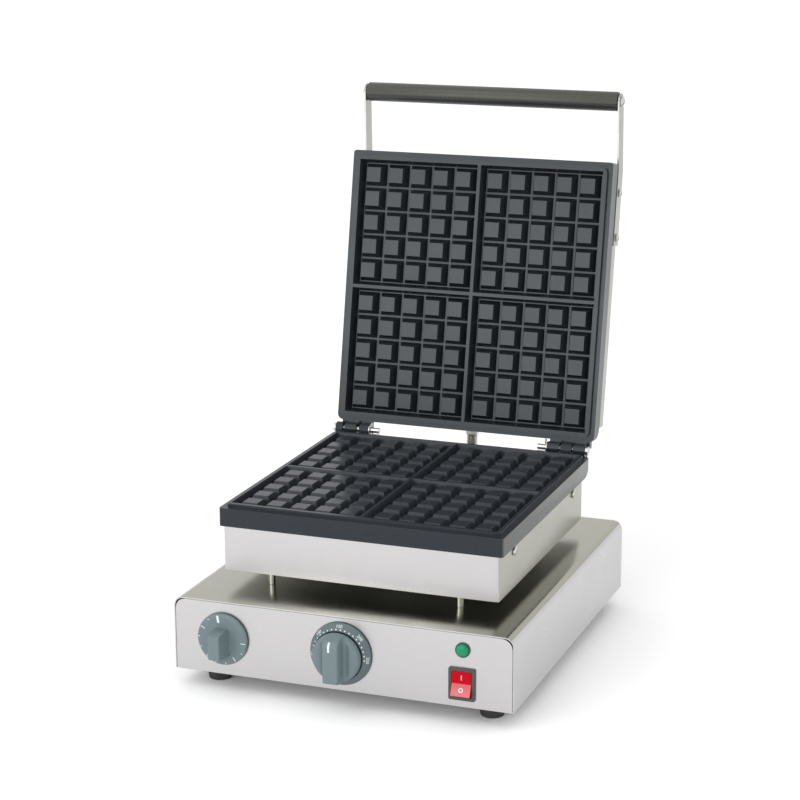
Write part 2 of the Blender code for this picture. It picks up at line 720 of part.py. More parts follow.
def columns():
    collar_top = BASE_TOP_Z - BASE_SHEET - GAP
    profile = [
        (0, PLATE_BOTTOM_Z - GAP),
        (COLUMN_STUD_RADIUS, PLATE_BOTTOM_Z - GAP),
        (COLUMN_STUD_RADIUS, SHROUD_Z - GAP),
        (COLUMN_RADIUS, SHROUD_Z - GAP),
        (COLUMN_RADIUS, BASE_TOP_Z + GAP),
        (COLUMN_STUD_RADIUS, BASE_TOP_Z + GAP),
        (COLUMN_STUD_RADIUS, collar_top),
        (COLUMN_COLLAR_RADIUS, collar_top),
        (COLUMN_COLLAR_RADIUS, collar_top - COLUMN_COLLAR_HEIGHT),
        (0, collar_top - COLUMN_COLLAR_HEIGHT),
    ]
    for name, x, y in column_places():
        lathe("column_" + name, profile, STAINLESS, sides=SMALL_SIDES).location = (x, y, 0)


# Castings, built round the hinge axis with the baking face up


def plate_body():
    """The slab with its full-thickness rounding at the back and its small plan corners."""
    front = -HINGE_TO_PLATE - PLATE_DEPTH
    rear = -HINGE_TO_PLATE
    half = PLATE_WIDTH / 2
    round_centre = (rear - PLATE_BACK_ROUND, -LEDGE_DROP)
    side = [(front, -PLATE_UNDERSIDE), (round_centre[0], -PLATE_UNDERSIDE)]
    side += arc(round_centre, PLATE_BACK_ROUND, -90, 0)
    side += [(front, -LEDGE_DROP)]
    radii = (PLATE_FRONT_RADIUS, PLATE_FRONT_RADIUS, PLATE_REAR_RADIUS, PLATE_REAR_RADIUS)
    plan = rounded_outline((-half, half), (front, rear), radii)
    deep = PLATE_UNDERSIDE + CUT_OVERRUN
    return side_solid(side, -half - CUT_OVERRUN, half + CUT_OVERRUN), outline_solid(plan, -deep, 0)


def stud_places():
    lines = []
    for pitch in STUD_PITCHES:
        start = RIB_TOP_WIDTH / 2 + POCKET_DRAFT + pitch / 2
        steps = [start + pitch * i for i in range(STUD_ROWS)]
        lines.append([-s for s in steps] + steps)
    return [(x, y - PLATE_MID) for x in lines[0] for y in lines[1]]


def pocket_places():
    across, along = ((RIB_TOP_WIDTH + top) / 2 for top in POCKET_TOPS)
    return [(x, y - PLATE_MID) for x in (-across, across) for y in (-along, along)]


def rim_block():
    across, along = RIM_HALVES
    plan = rounded_outline(
        (-across, across), (-along - PLATE_MID, along - PLATE_MID), (RIM_CORNER_RADIUS,) * 4
    )
    return outline_solid(plan, -LEDGE_DROP - STUD_SINK, -GAP)


def pockets():
    floor = -GAP - POCKET_DEPTH
    slope = POCKET_DRAFT / POCKET_DEPTH
    sides_low = [top - 2 * POCKET_DRAFT for top in POCKET_TOPS]
    sides_high = [top + 2 * slope * CUT_OVERRUN for top in POCKET_TOPS]
    blocks = []
    for x, y in pocket_places():
        blocks.append(moved(frustum(sides_low, sides_high, floor, CUT_OVERRUN - GAP), x, y))
    return together(*blocks)


def studs():
    floor = -GAP - POCKET_DEPTH
    spread = 2 * STUD_DRAFT * (STUD_HEIGHT + STUD_SINK) / STUD_HEIGHT
    feet_sides = [top + spread for top in STUD_TOPS]
    blocks = []
    for x, y in stud_places():
        block = frustum(feet_sides, STUD_TOPS, floor - STUD_SINK, floor + STUD_HEIGHT)
        blocks.append(moved(block, x, y))
    return together(*blocks)


def inset_spans(insets, sign):
    """Spans along X, in the lower plate's own sense, from insets off the plate's side."""
    half = sign * PLATE_WIDTH / 2
    return [tuple(sorted(half - sign * inset for inset in pair)) for pair in insets]


def lug_outline():
    """A lug with its baking face up: round the pin, straight at the back, rooted in the slab."""
    root = -HINGE_TO_PLATE - LUG_ROOT_IN
    points = arc((0, 0), LUG_RADIUS, 180, 0, 2 * CORNER_STEPS)
    points += [(LUG_RADIUS, -LUG_BACK), (root, -LUG_ROOT), (root, -LEDGE_DROP - GAP)]
    points += [(-LUG_RADIUS, -LEDGE_DROP - GAP)]
    return points


def stop_outline():
    """The shelf under the other casting's lugs, parallel to their straight backs when open."""
    lean = math.radians(LID_OPEN_DEG - 90)
    clear = LUG_RADIUS + GAP
    root = -HINGE_TO_PLATE - LUG_ROOT_IN

    def top(y):
        return -clear / math.cos(lean) - y * math.tan(lean)

    return [
        (root, top(root) - GAP),
        (STOP_REACH, top(STOP_REACH)),
        (STOP_REACH, -LUG_ROOT),
        (root, -LUG_ROOT),
    ]


def pin_bores():
    low = PLATE_WIDTH / 2 - max(LEFT_BOSS_INSETS + RIGHT_BOSS_INSETS) - CUT_OVERRUN
    high = PLATE_WIDTH / 2 + CUT_OVERRUN
    radius = HINGE_PIN_RADIUS + HINGE_BORE_CLEARANCE
    bores = [turned(rod(radius, *span), TURN_TO_RIGHT) for span in ((-high, -low), (low, high))]
    return together(*bores)


def screw_bosses(reaches, low, high):
    """Blocks under the slab that the side screws go into."""
    outer = SHROUD_WIDTH / 2 - SHROUD_SHEET - GAP
    half = SCREW_BOSS_WIDTH / 2
    blocks = []
    for reach in reaches:
        for side in (-1, 1):
            x_span = (side * (outer - SCREW_BOSS_WIDTH), side * outer)
            blocks.append(box(x_span, (-reach - half, -reach + half), (-high, -low)))
    return together(*blocks)


def side_holes(reaches, drop, x_low, x_high, radius):
    holes = []
    for reach in reaches:
        for _, _, turn in SIDES:
            holes.append(moved(turned(rod(radius, x_low, x_high, SMALL_SIDES), turn), 0, -reach, -drop))
    return together(*holes)


def casting(name, lug_spans, bosses, reaches, drop, parent):
    body, plan = plate_body()
    plate = add_part(name, body, CAST_BLACK, parent)
    boolean(plate, add_cutter(name + "_plan", plan, parent), "INTERSECT")
    join(plate, rim_block())
    cut(plate, pockets())
    join(plate, studs())
    for low, high in lug_spans:
        join(plate, side_solid(lug_outline(), low, high))
    for mesh in bosses:
        join(plate, mesh)
    join(plate, screw_bosses(reaches, PLATE_UNDERSIDE - STUD_SINK, drop + SCREW_BOSS_WIDTH / 2))
    cut(plate, pin_bores())
    inner = SHROUD_WIDTH / 2 - SHROUD_SHEET - SCREW_LENGTH - GAP
    cut(plate, side_holes(reaches, drop, inner, SHROUD_WIDTH / 2, SCREW_RADIUS + GAP))
    return plate


def lower_screw_reaches():
    rear = SHROUD_REAR + SHROUD_SCREW_REAR
    return (rear, SHROUD_REAR + SHROUD_DEPTH - SHROUD_SCREW_FRONT)


def lower_casting(seat):
    pins = inset_spans([LEFT_PIN_INSETS], -1) + inset_spans([RIGHT_PIN_INSETS], 1)
    shelves = [side_solid(stop_outline(), *span) for span in pins]
    spans = inset_spans(LOWER_LEFT_LUG_INSETS, -1) + inset_spans(LOWER_RIGHT_LUG_INSETS, 1)
    drop = PLATE_UNDERSIDE + SHROUD_SCREW_DROP
    casting("lower_plate", spans, shelves, lower_screw_reaches(), drop, seat)


def upper_casting(lid):
    """The same casting turned over, so its left is at +X, with a boss along each pair of lugs."""
    y_span = (-HINGE_TO_PLATE - LUG_ROOT_IN, BOSS_REACH - HINGE_TO_PLATE)
    z_span = (-LUG_ROOT, -BOSS_FLOOR)
    boss_spans = inset_spans([LEFT_BOSS_INSETS], 1) + inset_spans([RIGHT_BOSS_INSETS], -1)
    bosses = [box(span, y_span, z_span) for span in boss_spans]
    spans = inset_spans(UPPER_LEFT_LUG_INSETS, 1) + inset_spans(UPPER_RIGHT_LUG_INSETS, -1)
    casting("upper_plate", spans, bosses, ARM_SCREW_REACHES, arm_drop(), lid)


def arm_drop():
    """How far the arms' lower half lies behind the parting plane."""
    return PLATE_UNDERSIDE + GAP + COVER_HEIGHT - ARM_WIDTH / 2


# Sheet boxes behind the castings, with the baking face up


def tray(name, height, parent, holes):
    """A folded box, open towards the casting."""
    half = SHROUD_WIDTH / 2
    top = -PLATE_UNDERSIDE - GAP
    radii = (SHROUD_CORNER_RADIUS,) * 4
    outer = rounded_outline(
        (-half, half), (-SHROUD_REAR - SHROUD_DEPTH, -SHROUD_REAR), radii
    )
    half -= SHROUD_SHEET
    radii = (SHROUD_CORNER_RADIUS - SHROUD_SHEET,) * 4
    inner = rounded_outline(
        (-half, half),
        (-SHROUD_REAR - SHROUD_DEPTH + SHROUD_SHEET, -SHROUD_REAR - SHROUD_SHEET),
        radii,
    )
    shell = add_part(name, outline_solid(outer, top - height, top), STAINLESS, parent)
    cut(shell, outline_solid(inner, top - height + SHROUD_SHEET, top + CUT_OVERRUN))
    for mesh in holes:
        cut(shell, mesh)
    return shell


def lower_shroud(seat):
    floor = -PLATE_UNDERSIDE - GAP - SHROUD_HEIGHT
    span = (floor - CUT_OVERRUN, floor + SHROUD_SHEET + CUT_OVERRUN)
    holes = [
        moved(rod(COLUMN_STUD_RADIUS + GAP, *span, SMALL_SIDES), x, y - HINGE_Y)
        for _, x, y in column_places()
    ]
    lead = rod(LEAD_HOLE_RADIUS, *span, SMALL_SIDES)
    holes.append(moved(lead, LEAD_HOLE_X, lead_hole_y() - HINGE_Y))
    drop = PLATE_UNDERSIDE + SHROUD_SCREW_DROP
    reach = SHROUD_WIDTH / 2
    sides = side_holes(
        lower_screw_reaches(), drop, reach - 2 * SHROUD_SHEET, reach + CUT_OVERRUN, SCREW_RADIUS + GAP
    )
    tray("lower_shroud", SHROUD_HEIGHT, seat, [together(*holes), sides])


def upper_cover(lid):
    reach = SHROUD_WIDTH / 2
    sides = side_holes(
        ARM_SCREW_REACHES, arm_drop(), reach - 2 * SHROUD_SHEET, reach + CUT_OVERRUN, SCREW_RADIUS + GAP
    )
    gland = turned(rod(GLAND_SPIGOT_RADIUS + GAP, -2 * SHROUD_SHEET, CUT_OVERRUN), TURN_TO_BACK)
    tray("upper_cover", COVER_HEIGHT, lid, [sides, moved(gland, 0, -SHROUD_REAR, -GLAND_LIFT)])


def heater_route():
    """Half of a W in plan, mirrored, with both ends at the back."""
    front = -HINGE_TO_PLATE - PLATE_DEPTH + HEATER_FRONT_INSET
    rear = -HINGE_TO_PLATE - HEATER_REAR_INSET
    end = -HINGE_TO_PLATE - HEATER_END_INSET
    z = -PLATE_UNDERSIDE - GAP - HEATER_RADIUS
    left = [
        (-HEATER_INNER_X, end, z),
        (-HEATER_INNER_X, front, z),
        (-HEATER_OUTER_X, front, z),
        (-HEATER_OUTER_X, rear, z),
    ]
    middle = (HEATER_OUTER_X + HEATER_INNER_X) / 2
    left.insert(0, (-middle, end, z))
    right = [(-x, y, z) for x, y, z in reversed(left)]
    return rounded_path(left[1:] + right[:-1], HEATER_BEND_RADIUS)


def heater(name, parent):
    add_part(name, tube(heater_route(), HEATER_RADIUS), HEATER_STEEL, parent)


def clamp_plate(name, parent):
    half = CLAMP_WIDTH / 2
    y_mid = -SHROUD_MID
    top = -PLATE_UNDERSIDE - 2 * GAP - 2 * HEATER_RADIUS
    plan = rounded_outline(
        (-half, half), (y_mid - CLAMP_DEPTH / 2, y_mid + CLAMP_DEPTH / 2), (CLAMP_CORNER_RADIUS,) * 4
    )
    plate = add_part(name, outline_solid(plan, top - CLAMP_THICKNESS, top), ZINC, parent)
    window = rod(LEAD_HOLE_RADIUS, top - CLAMP_THICKNESS - CUT_OVERRUN, top + CUT_OVERRUN, SMALL_SIDES)
    cut(plate, moved(window, LEAD_HOLE_X, lead_hole_y() - HINGE_Y))


# Hinge


def hinge_pins():
    for side, sign, insets, way in (
        ("left", -1, LEFT_PIN_INSETS, TURN_TO_RIGHT),
        ("right", 1, RIGHT_PIN_INSETS, TURN_TO_LEFT),
    ):
        outer, inner = (sign * (PLATE_WIDTH / 2 - inset) for inset in insets)
        length = abs(outer - inner) + GAP + WASHER_THICKNESS + PIN_TAIL
        profile = [
            (0, length),
            (HINGE_PIN_RADIUS, length),
            (HINGE_PIN_RADIUS, -GAP),
            (PIN_HEAD_RADIUS, -GAP),
            (PIN_HEAD_RADIUS, -GAP - PIN_HEAD_HEIGHT),
            (0, -GAP - PIN_HEAD_HEIGHT),
        ]
        pin = lathe("hinge_pin_" + side, profile, ZINC)
        seat = Matrix.Translation((outer, HINGE_Y, HINGE_Z)) @ way
        washer_low = abs(outer - inner) + GAP
        washer = ring(
            "hinge_washer_" + side,
            WASHER_RADIUS,
            HINGE_PIN_RADIUS + GAP,
            washer_low,
            washer_low + WASHER_THICKNESS,
            ZINC,
        )
        place(washer, seat)
        cotter_at = washer_low + WASHER_THICKNESS + GAP + COTTER_HOLE_RADIUS
        hole = turned(
            rod(COTTER_HOLE_RADIUS, -PIN_HEAD_RADIUS, PIN_HEAD_RADIUS, SMALL_SIDES), TURN_TO_RIGHT
        )
        cut(pin, moved(hole, z=cotter_at))
        place(pin, seat)
        cotter = add_part("cotter_pin_" + side, tube(cotter_route(way, cotter_at), COTTER_WIRE_RADIUS), ZINC)
        place(cotter, seat)


def cotter_route(way, cotter_at):
    """Down through the pin along world Z, an open eye on top and the leg bent inwards."""
    up = way.to_3x3().inverted() @ Vector((0, 0, 1))
    along = Vector((0, 0, 1))
    across = up.cross(along)
    start = Vector((0, 0, cotter_at))
    lift = HINGE_PIN_RADIUS + COTTER_EYE_RADIUS + 2 * COTTER_WIRE_RADIUS
    eye = []
    for x, y in arc((0, 0), COTTER_EYE_RADIUS, COTTER_EYE_START_DEG, -90, 2 * CORNER_STEPS):
        eye.append(start + up * (lift + y) + across * x)
    below = -HINGE_PIN_RADIUS - 2 * COTTER_WIRE_RADIUS
    bend = rounded_path(
        [eye[-1] - up * COTTER_WIRE_RADIUS, start + up * below, start + up * below + along * COTTER_LEG],
        COTTER_WIRE_RADIUS * 2,
        3,
    )
    return eye + bend


# Handle


def arm_outline():
    """A bent flat bar in the YZ plane, closed lid, from its square foot to its round end."""
    foot = Vector((-ARM_FOOT_REACH, -arm_drop()))
    kink = Vector((-ARM_KINK_REACH, -arm_drop()))
    end = Vector((-GRIP_REACH, -GRIP_LIFT))
    half = ARM_WIDTH / 2
    first = (kink - foot).normalized()
    second = (end - kink).normalized()
    left_of = lambda d: Vector((-d.y, d.x))
    miter = (left_of(first) + left_of(second)).normalized()
    miter *= half / miter.dot(left_of(first))
    heading = math.degrees(math.atan2(second.y, second.x))
    points = [foot - left_of(first) * half, kink - miter]
    points += arc(end, half, heading - 90, heading + 90, 2 * CORNER_STEPS)
    points += [kink + miter, foot + left_of(first) * half]
    return [tuple(p) for p in points]


def handle(lid):
    inner = SHROUD_WIDTH / 2 + GAP
    outer = inner + ARM_THICKNESS
    for side, sign, turn in LID_SIDES:
        span = sorted((sign * inner, sign * outer))
        arm = add_part("handle_arm_" + side, side_solid(arm_outline(), *span), STAINLESS, lid)
        holes = [
            moved(
                turned(rod(SCREW_RADIUS + GAP, inner - CUT_OVERRUN, outer + CUT_OVERRUN, SMALL_SIDES), turn),
                0,
                -reach,
                -arm_drop(),
            )
            for reach in ARM_SCREW_REACHES
        ]
        grip_hole = rod(GRIP_SCREW_RADIUS + GAP, inner - CUT_OVERRUN, outer + CUT_OVERRUN)
        holes.append(moved(turned(grip_hole, turn), 0, -GRIP_REACH, -GRIP_LIFT))
        cut(arm, together(*holes))
        for place, reach in zip(("rear", "front"), ARM_SCREW_REACHES):
            screw = side_screw(f"arm_screw_{side}_{place}", lid)
            screw.matrix_local = Matrix.Translation((sign * outer, -reach, -arm_drop())) @ turn
        end = grip_screw("grip_screw_" + side, lid)
        end.matrix_local = Matrix.Translation((sign * outer, -GRIP_REACH, -GRIP_LIFT)) @ turn
    half = inner - 2 * GAP
    bore_end = half - GRIP_SCREW_LENGTH + ARM_THICKNESS - GAP
    bore = GRIP_SCREW_RADIUS + GAP
    profile = [(0, bore_end), (bore, bore_end), (bore, half), (GRIP_RADIUS - GRIP_END_ROUND, half)]
    profile += arc((GRIP_RADIUS - GRIP_END_ROUND, half - GRIP_END_ROUND), GRIP_END_ROUND, 90, 0, 2)[1:]
    lower = [(radius, -height) for radius, height in reversed(profile)]
    grip = lathe("handle_grip", profile + lower, GRIP_PLASTIC, lid)
    grip.matrix_local = Matrix.Translation((0, -GRIP_REACH, -GRIP_LIFT)) @ TURN_TO_RIGHT


def side_screw(name, parent):
    """A screw along +Z whose seat is z = 0."""
    profile = [
        (0, GAP + SCREW_HEAD_HEIGHT),
        (SCREW_HEAD_RADIUS - SCREW_HEAD_HEIGHT / 2, GAP + SCREW_HEAD_HEIGHT),
        (SCREW_HEAD_RADIUS, GAP + SCREW_HEAD_HEIGHT / 2),
        (SCREW_HEAD_RADIUS, GAP),
        (SCREW_RADIUS, GAP),
        (SCREW_RADIUS, -SCREW_LENGTH),
        (0, -SCREW_LENGTH),
    ]
    return lathe(name, profile, ZINC, parent, sides=SMALL_SIDES)


def grip_screw(name, parent):
    profile = [
        (0, GAP + SCREW_HEAD_HEIGHT),
        (GRIP_SCREW_HEAD_RADIUS - SCREW_HEAD_HEIGHT / 2, GAP + SCREW_HEAD_HEIGHT),
        (GRIP_SCREW_HEAD_RADIUS, GAP + SCREW_HEAD_HEIGHT / 2),
        (GRIP_SCREW_HEAD_RADIUS, GAP),
        (GRIP_SCREW_RADIUS, GAP),
        (GRIP_SCREW_RADIUS, -GRIP_SCREW_LENGTH),
        (0, -GRIP_SCREW_LENGTH),
    ]
    return lathe(name, profile, ZINC, parent, sides=SMALL_SIDES)


def shroud_screws(seat):
    drop = PLATE_UNDERSIDE + SHROUD_SCREW_DROP
    for side, sign, turn in SIDES:
        for place, reach in zip(("rear", "front"), lower_screw_reaches()):
            screw = side_screw(f"shroud_screw_{side}_{place}", seat)
            screw.matrix_local = Matrix.Translation((sign * SHROUD_WIDTH / 2, -reach, -drop)) @ turn


# Conduit and its glands


def gland(name, sheet, length):
    """A conduit gland along +Z: a spigot through the sheet, a flange and the hexagon nut at its end."""
    corner = GLAND_FLATS / 2 / math.cos(math.radians(30))
    low = -sheet - GLAND_SPIGOT_LENGTH
    nut = add_part(name, rod(corner, GAP + length - GLAND_NUT_LENGTH, GAP + length, 6), ZINC)
    join(nut, rod(GLAND_SPIGOT_RADIUS, low, length - GLAND_NUT_LENGTH / 2, SMALL_SIDES))
    join(nut, rod(corner, GAP, GAP + GLAND_FLANGE_THICKNESS, 6))
    cut(nut, rod(GLAND_BORE_RADIUS, low - CUT_OVERRUN, GAP + length + CUT_OVERRUN, SMALL_SIDES))
    return nut


def place(obj, seat):
    """Puts a part and the tools that shape it at one seat."""
    obj.matrix_world = seat
    for modifier in obj.modifiers:
        if modifier.type == "BOOLEAN":
            modifier.object.matrix_world = seat


def lid_matrix():
    return Matrix.Translation((0, HINGE_Y, HINGE_Z)) @ Matrix.Rotation(-math.radians(LID_OPEN_DEG), 4, "X")


def conduit_points(count):
    """A smooth bow behind the base from the lid's gland to the rear panel's gland."""
    start = lid_gland_seat() @ Vector((0, 0, GLAND_EXIT + 2 * GAP))
    heading = (lid_matrix().to_3x3() @ Vector((0, 1, 0))).normalized()
    end = outlet_seat() @ Vector((0, 0, OUTLET_EXIT + 2 * GAP))
    handles = (start, start + heading * CONDUIT_BULGE, end + Vector((0, CONDUIT_BULGE, 0)), end)
    points = []
    for i in range(count + 1):
        t = i / count
        weights = ((1 - t) ** 3, 3 * t * (1 - t) ** 2, 3 * t ** 2 * (1 - t), t ** 3)
        points.append(sum((w * h for w, h in zip(weights, handles)), Vector()))
    return points


def conduit():
    lid_gland = gland("lid_conduit_gland", SHROUD_SHEET, GLAND_EXIT)
    place(lid_gland, lid_gland_seat())
    base_gland = gland("base_conduit_gland", BASE_SHEET, OUTLET_EXIT)
    place(base_gland, outlet_seat())
    steps = 2 * CONDUIT_RIBS
    root_share = CONDUIT_ROOT_RADIUS / CONDUIT_RIB_RADIUS
    shares = [1 if i % 2 else root_share for i in range(steps + 1)]
    hose = add_part("lead_conduit", tube(conduit_points(steps), CONDUIT_RIB_RADIUS, shares), STAINLESS)
    bore = conduit_points(CONDUIT_BORE_STEPS)
    bore[0] += (bore[0] - bore[1]).normalized() * CUT_OVERRUN
    bore[-1] += (bore[-1] - bore[-2]).normalized() * CUT_OVERRUN
    cut(hose, tube(bore, CONDUIT_BORE_RADIUS))


def outlet_seat():
    return Matrix.Translation((0, BASE_DEPTH, OUTLET_Z)) @ TURN_TO_BACK


def lid_gland_seat():
    return lid_matrix() @ Matrix.Translation((0, -SHROUD_REAR, GLAND_LIFT)) @ TURN_TO_BACK


def mains_gland():
    """The inlet for the mains lead, without the lead."""
    flats = MAINS_GLAND_RADIUS / math.cos(math.radians(30))
    nut = add_part("mains_gland", rod(flats, GAP, MAINS_GLAND_LENGTH / 2, 6), BLACK_PLASTIC)
    join(nut, rod(MAINS_GLAND_RADIUS / 2, -BASE_SHEET - GLAND_SPIGOT_LENGTH, GAP * 2))
    dome = MAINS_GLAND_LENGTH / 2 - GAP
    join(nut, cone(MAINS_GLAND_RADIUS, MAINS_GLAND_RADIUS / 2 + GAP, dome, MAINS_GLAND_LENGTH))
    cut(nut, rod(MAINS_GLAND_BORE, -BASE_DEPTH, BASE_DEPTH, SMALL_SIDES))
    seat = Matrix.Translation((mains_x(), BASE_DEPTH, BASE_Z + MAINS_GLAND_RISE)) @ TURN_TO_BACK
    place(nut, seat)


# Controls, built along +Z and turned to face the front


def face_front(obj, x, z):
    place(obj, Matrix.Translation((x, 0, z)) @ TURN_TO_FRONT)


def grip_fin(width, length, low, high):
    """A tapered bar across the knob's face, narrower at its top."""
    bm = bmesh.new()
    bmesh.ops.create_cube(bm, size=1)
    for vert in bm.verts:
        share = FIN_TAPER_SHARE if vert.co.z > 0 else 1
        vert.co.x *= width * share
        vert.co.y *= length * (1 - (1 - share) / 2)
        vert.co.z = high if vert.co.z > 0 else low
    bmesh.ops.bevel(
        bm,
        geom=[e for e in bm.edges if abs(e.verts[0].co.z - e.verts[1].co.z) > GAP],
        offset=width * (1 - FIN_TAPER_SHARE),
        segments=2,
        affect="EDGES",
        profile=0.5,
    )
    return mesh_of(bm)


def shaft_bore(low):
    return rod(SHAFT_RADIUS + GAP, low - CUT_OVERRUN, BASE_SHEET + SHAFT_LENGTH + GAP)


def timer_knob():
    low = KNOB_LIFT
    disc_top = low + TIMER_DISC_THICKNESS
    profile = [
        (0, TIMER_BOSS_HEIGHT),
        (TIMER_BOSS_RADIUS * BOSS_TOP_SHARE, TIMER_BOSS_HEIGHT),
        (TIMER_BOSS_RADIUS, disc_top),
        (TIMER_DISC_RADIUS - TIMER_DISC_BEVEL, disc_top),
        (TIMER_DISC_RADIUS, disc_top - TIMER_DISC_BEVEL),
        (TIMER_DISC_RADIUS, low),
        (0, low),
    ]
    knob = lathe("timer_knob", profile, KNOB_GREY, sides=FINE_SIDES)
    fin = grip_fin(TIMER_FIN_WIDTH, TIMER_FIN_LENGTH, disc_top - GAP, TIMER_FIN_HEIGHT)
    join(knob, moved(fin, y=-TIMER_FIN_DROP))
    cut(knob, shaft_bore(low))
    face_front(knob, TIMER_X, TIMER_Z)


def thermostat_dial():
    well = RING_THICKNESS - RING_WELL_DEPTH
    profile = [
        (SHAFT_RADIUS + GAP, well),
        (RING_WELL_RADIUS, well),
        (RING_WELL_RADIUS, RING_LIP_HEIGHT),
        (RING_RADIUS, RING_EDGE_HEIGHT),
        (RING_RADIUS, GAP),
        (SHAFT_RADIUS + GAP, GAP),
        (SHAFT_RADIUS + GAP, well),
    ]
    face_front(lathe("thermostat_dial", profile, KNOB_GREY, sides=FINE_SIDES), THERMOSTAT_X, THERMOSTAT_Z)


def thermostat_knob():
    low = RING_THICKNESS + KNOB_LIFT
    top = RING_THICKNESS + KNOB_HEIGHT
    profile = [
        (0, top),
        (KNOB_RADIUS - KNOB_BEVEL, top),
        (KNOB_RADIUS, top - KNOB_BEVEL),
        (KNOB_RADIUS, low),
        (0, low),
    ]
    knob = lathe("thermostat_knob", profile, KNOB_GREY, sides=FINE_SIDES)
    join(knob, grip_fin(KNOB_FIN_WIDTH, KNOB_FIN_LENGTH, top - GAP, KNOB_FIN_HEIGHT))
    cut(knob, shaft_bore(low))
    face_front(knob, THERMOSTAT_X, THERMOSTAT_Z)


def control_bodies():
    """The timer and the thermostat behind the panel, with the shafts that hold the knobs."""
    back = -BASE_SHEET - GAP
    half = TIMER_BODY_SIDE / 2
    timer = add_part("timer_body", box((-half, half), (-half, half), (back - TIMER_BODY_DEPTH, back)), ZINC)
    join(timer, rod(SHAFT_RADIUS, back - CUT_OVERRUN, SHAFT_LENGTH))
    face_front(timer, TIMER_X, TIMER_Z)
    body = rod(THERMOSTAT_BODY_RADIUS, back - THERMOSTAT_BODY_DEPTH, back)
    thermostat = add_part("thermostat_body", body, ZINC)
    join(thermostat, rod(SHAFT_RADIUS, back - CUT_OVERRUN, SHAFT_LENGTH))
    face_front(thermostat, THERMOSTAT_X, THERMOSTAT_Z)


def thermostat_bulb():
    """A capillary from the thermostat, up through both lead holes, to the bulb under the lower plate."""
    back = BASE_SHEET + 2 * GAP + THERMOSTAT_BODY_DEPTH
    hole_y = lead_hole_y()
    bend = 2 * LEAD_HOLE_RADIUS
    low_z = THERMOSTAT_Z - THERMOSTAT_BODY_RADIUS / 2
    bulb_z = PLATE_BOTTOM_Z - GAP - BULB_RADIUS
    bulb_y = hole_y - bend
    path = [(0, back, low_z), (0, hole_y, low_z), (0, hole_y, bulb_z), (0, bulb_y - GAP, bulb_z)]
    hose = tube(rounded_path(path, bend / 2), CAPILLARY_RADIUS, sides_level=1)
    bulb = add_part("thermostat_bulb", moved(hose, LEAD_HOLE_X), ZINC)
    rod_mesh = turned(rod(BULB_RADIUS, -bulb_y, BULB_LENGTH - bulb_y, SMALL_SIDES), TURN_TO_FRONT)
    join(bulb, moved(rod_mesh, LEAD_HOLE_X, z=bulb_z))


def pilot_lamp():
    floor = LAMP_RIM_HEIGHT / 3
    body_end = -BASE_SHEET - LAMP_BODY_LENGTH
    bore = LAMP_LENS_RADIUS + GAP
    holder = [
        (0, floor),
        (bore, floor),
        (bore, LAMP_RIM_HEIGHT),
        (LAMP_RIM_RADIUS, LAMP_RIM_HEIGHT),
        (LAMP_RIM_RADIUS, GAP),
        (LAMP_BODY_RADIUS, GAP),
        (LAMP_BODY_RADIUS, body_end),
        (0, body_end),
    ]
    body = lathe("pilot_holder", holder, BLACK_PLASTIC)
    face_front(body, LAMP_X, LAMP_Z)
    dome = LAMP_LENS_HEIGHT
    sphere = (LAMP_LENS_RADIUS ** 2 + dome ** 2) / (2 * dome)
    centre = LAMP_RIM_HEIGHT + dome - sphere
    edge_deg = math.degrees(math.asin((sphere - dome) / sphere))
    lens = arc((0, centre), sphere, 90, edge_deg)
    lens += [(LAMP_LENS_RADIUS, floor + GAP), (0, floor + GAP)]
    face_front(lathe("pilot_lens", lens, LENS_GREEN), LAMP_X, LAMP_Z)


def rocker_switch():
    half_w, half_h = BEZEL_WIDTH / 2, BEZEL_HEIGHT / 2
    corners = (BEZEL_CORNER_RADIUS,) * 4
    plan = rounded_outline((-half_w, half_w), (-half_h, half_h), corners)
    housing = add_part("switch_housing", outline_solid(plan, GAP, BEZEL_THICKNESS), BLACK_PLASTIC)
    body_w, body_h = half_w - SWITCH_BODY_INSET, half_h - SWITCH_BODY_INSET
    back = -BASE_SHEET - SWITCH_BODY_DEPTH
    join(housing, box((-body_w, body_w), (-body_h, body_h), (back, GAP * 2)))
    well_w, well_h = half_w - BEZEL_BORDER, half_h - BEZEL_BORDER
    well_low = BEZEL_THICKNESS - ROCKER_WELL_DEPTH
    cut(housing, box((-well_w, well_w), (-well_h, well_h), (well_low, BEZEL_THICKNESS + CUT_OVERRUN)))
    reach = well_w - ROCKER_CLEARANCE + ROCKER_STUB + GAP
    bore = turned(rod(ROCKER_STUB_RADIUS + GAP, -reach, reach, SMALL_SIDES), TURN_TO_RIGHT)
    cut(housing, moved(bore, z=BEZEL_THICKNESS - ROCKER_PIVOT_DEPTH))
    face_front(housing, SWITCH_X, SWITCH_Z)

    wide = well_w - ROCKER_CLEARANCE
    tall = well_h - 2 * ROCKER_CLEARANCE
    tip = ROCKER_PIVOT_DEPTH + ROCKER_TIP_RISE
    back = tall * ROCKER_BACK_SHARE
    outline = [(-tall, tip), (-back, -ROCKER_BACK), (back, -ROCKER_BACK), (tall, tip), (0, ROCKER_PIVOT_DEPTH)]
    rocker = add_part("switch_rocker", side_solid(outline, -wide, wide), ROCKER_RED)
    stub = turned(rod(ROCKER_STUB_RADIUS, -wide - ROCKER_STUB, wide + ROCKER_STUB, SMALL_SIDES), TURN_TO_RIGHT)
    join(rocker, stub)
    pivot = Matrix.Translation((SWITCH_X, ROCKER_PIVOT_DEPTH - BEZEL_THICKNESS, SWITCH_Z))
    tilt = Matrix.Rotation(-math.radians(ROCKER_TILT_DEG), 4, "X")
    place(rocker, pivot @ tilt @ TURN_TO_FRONT)


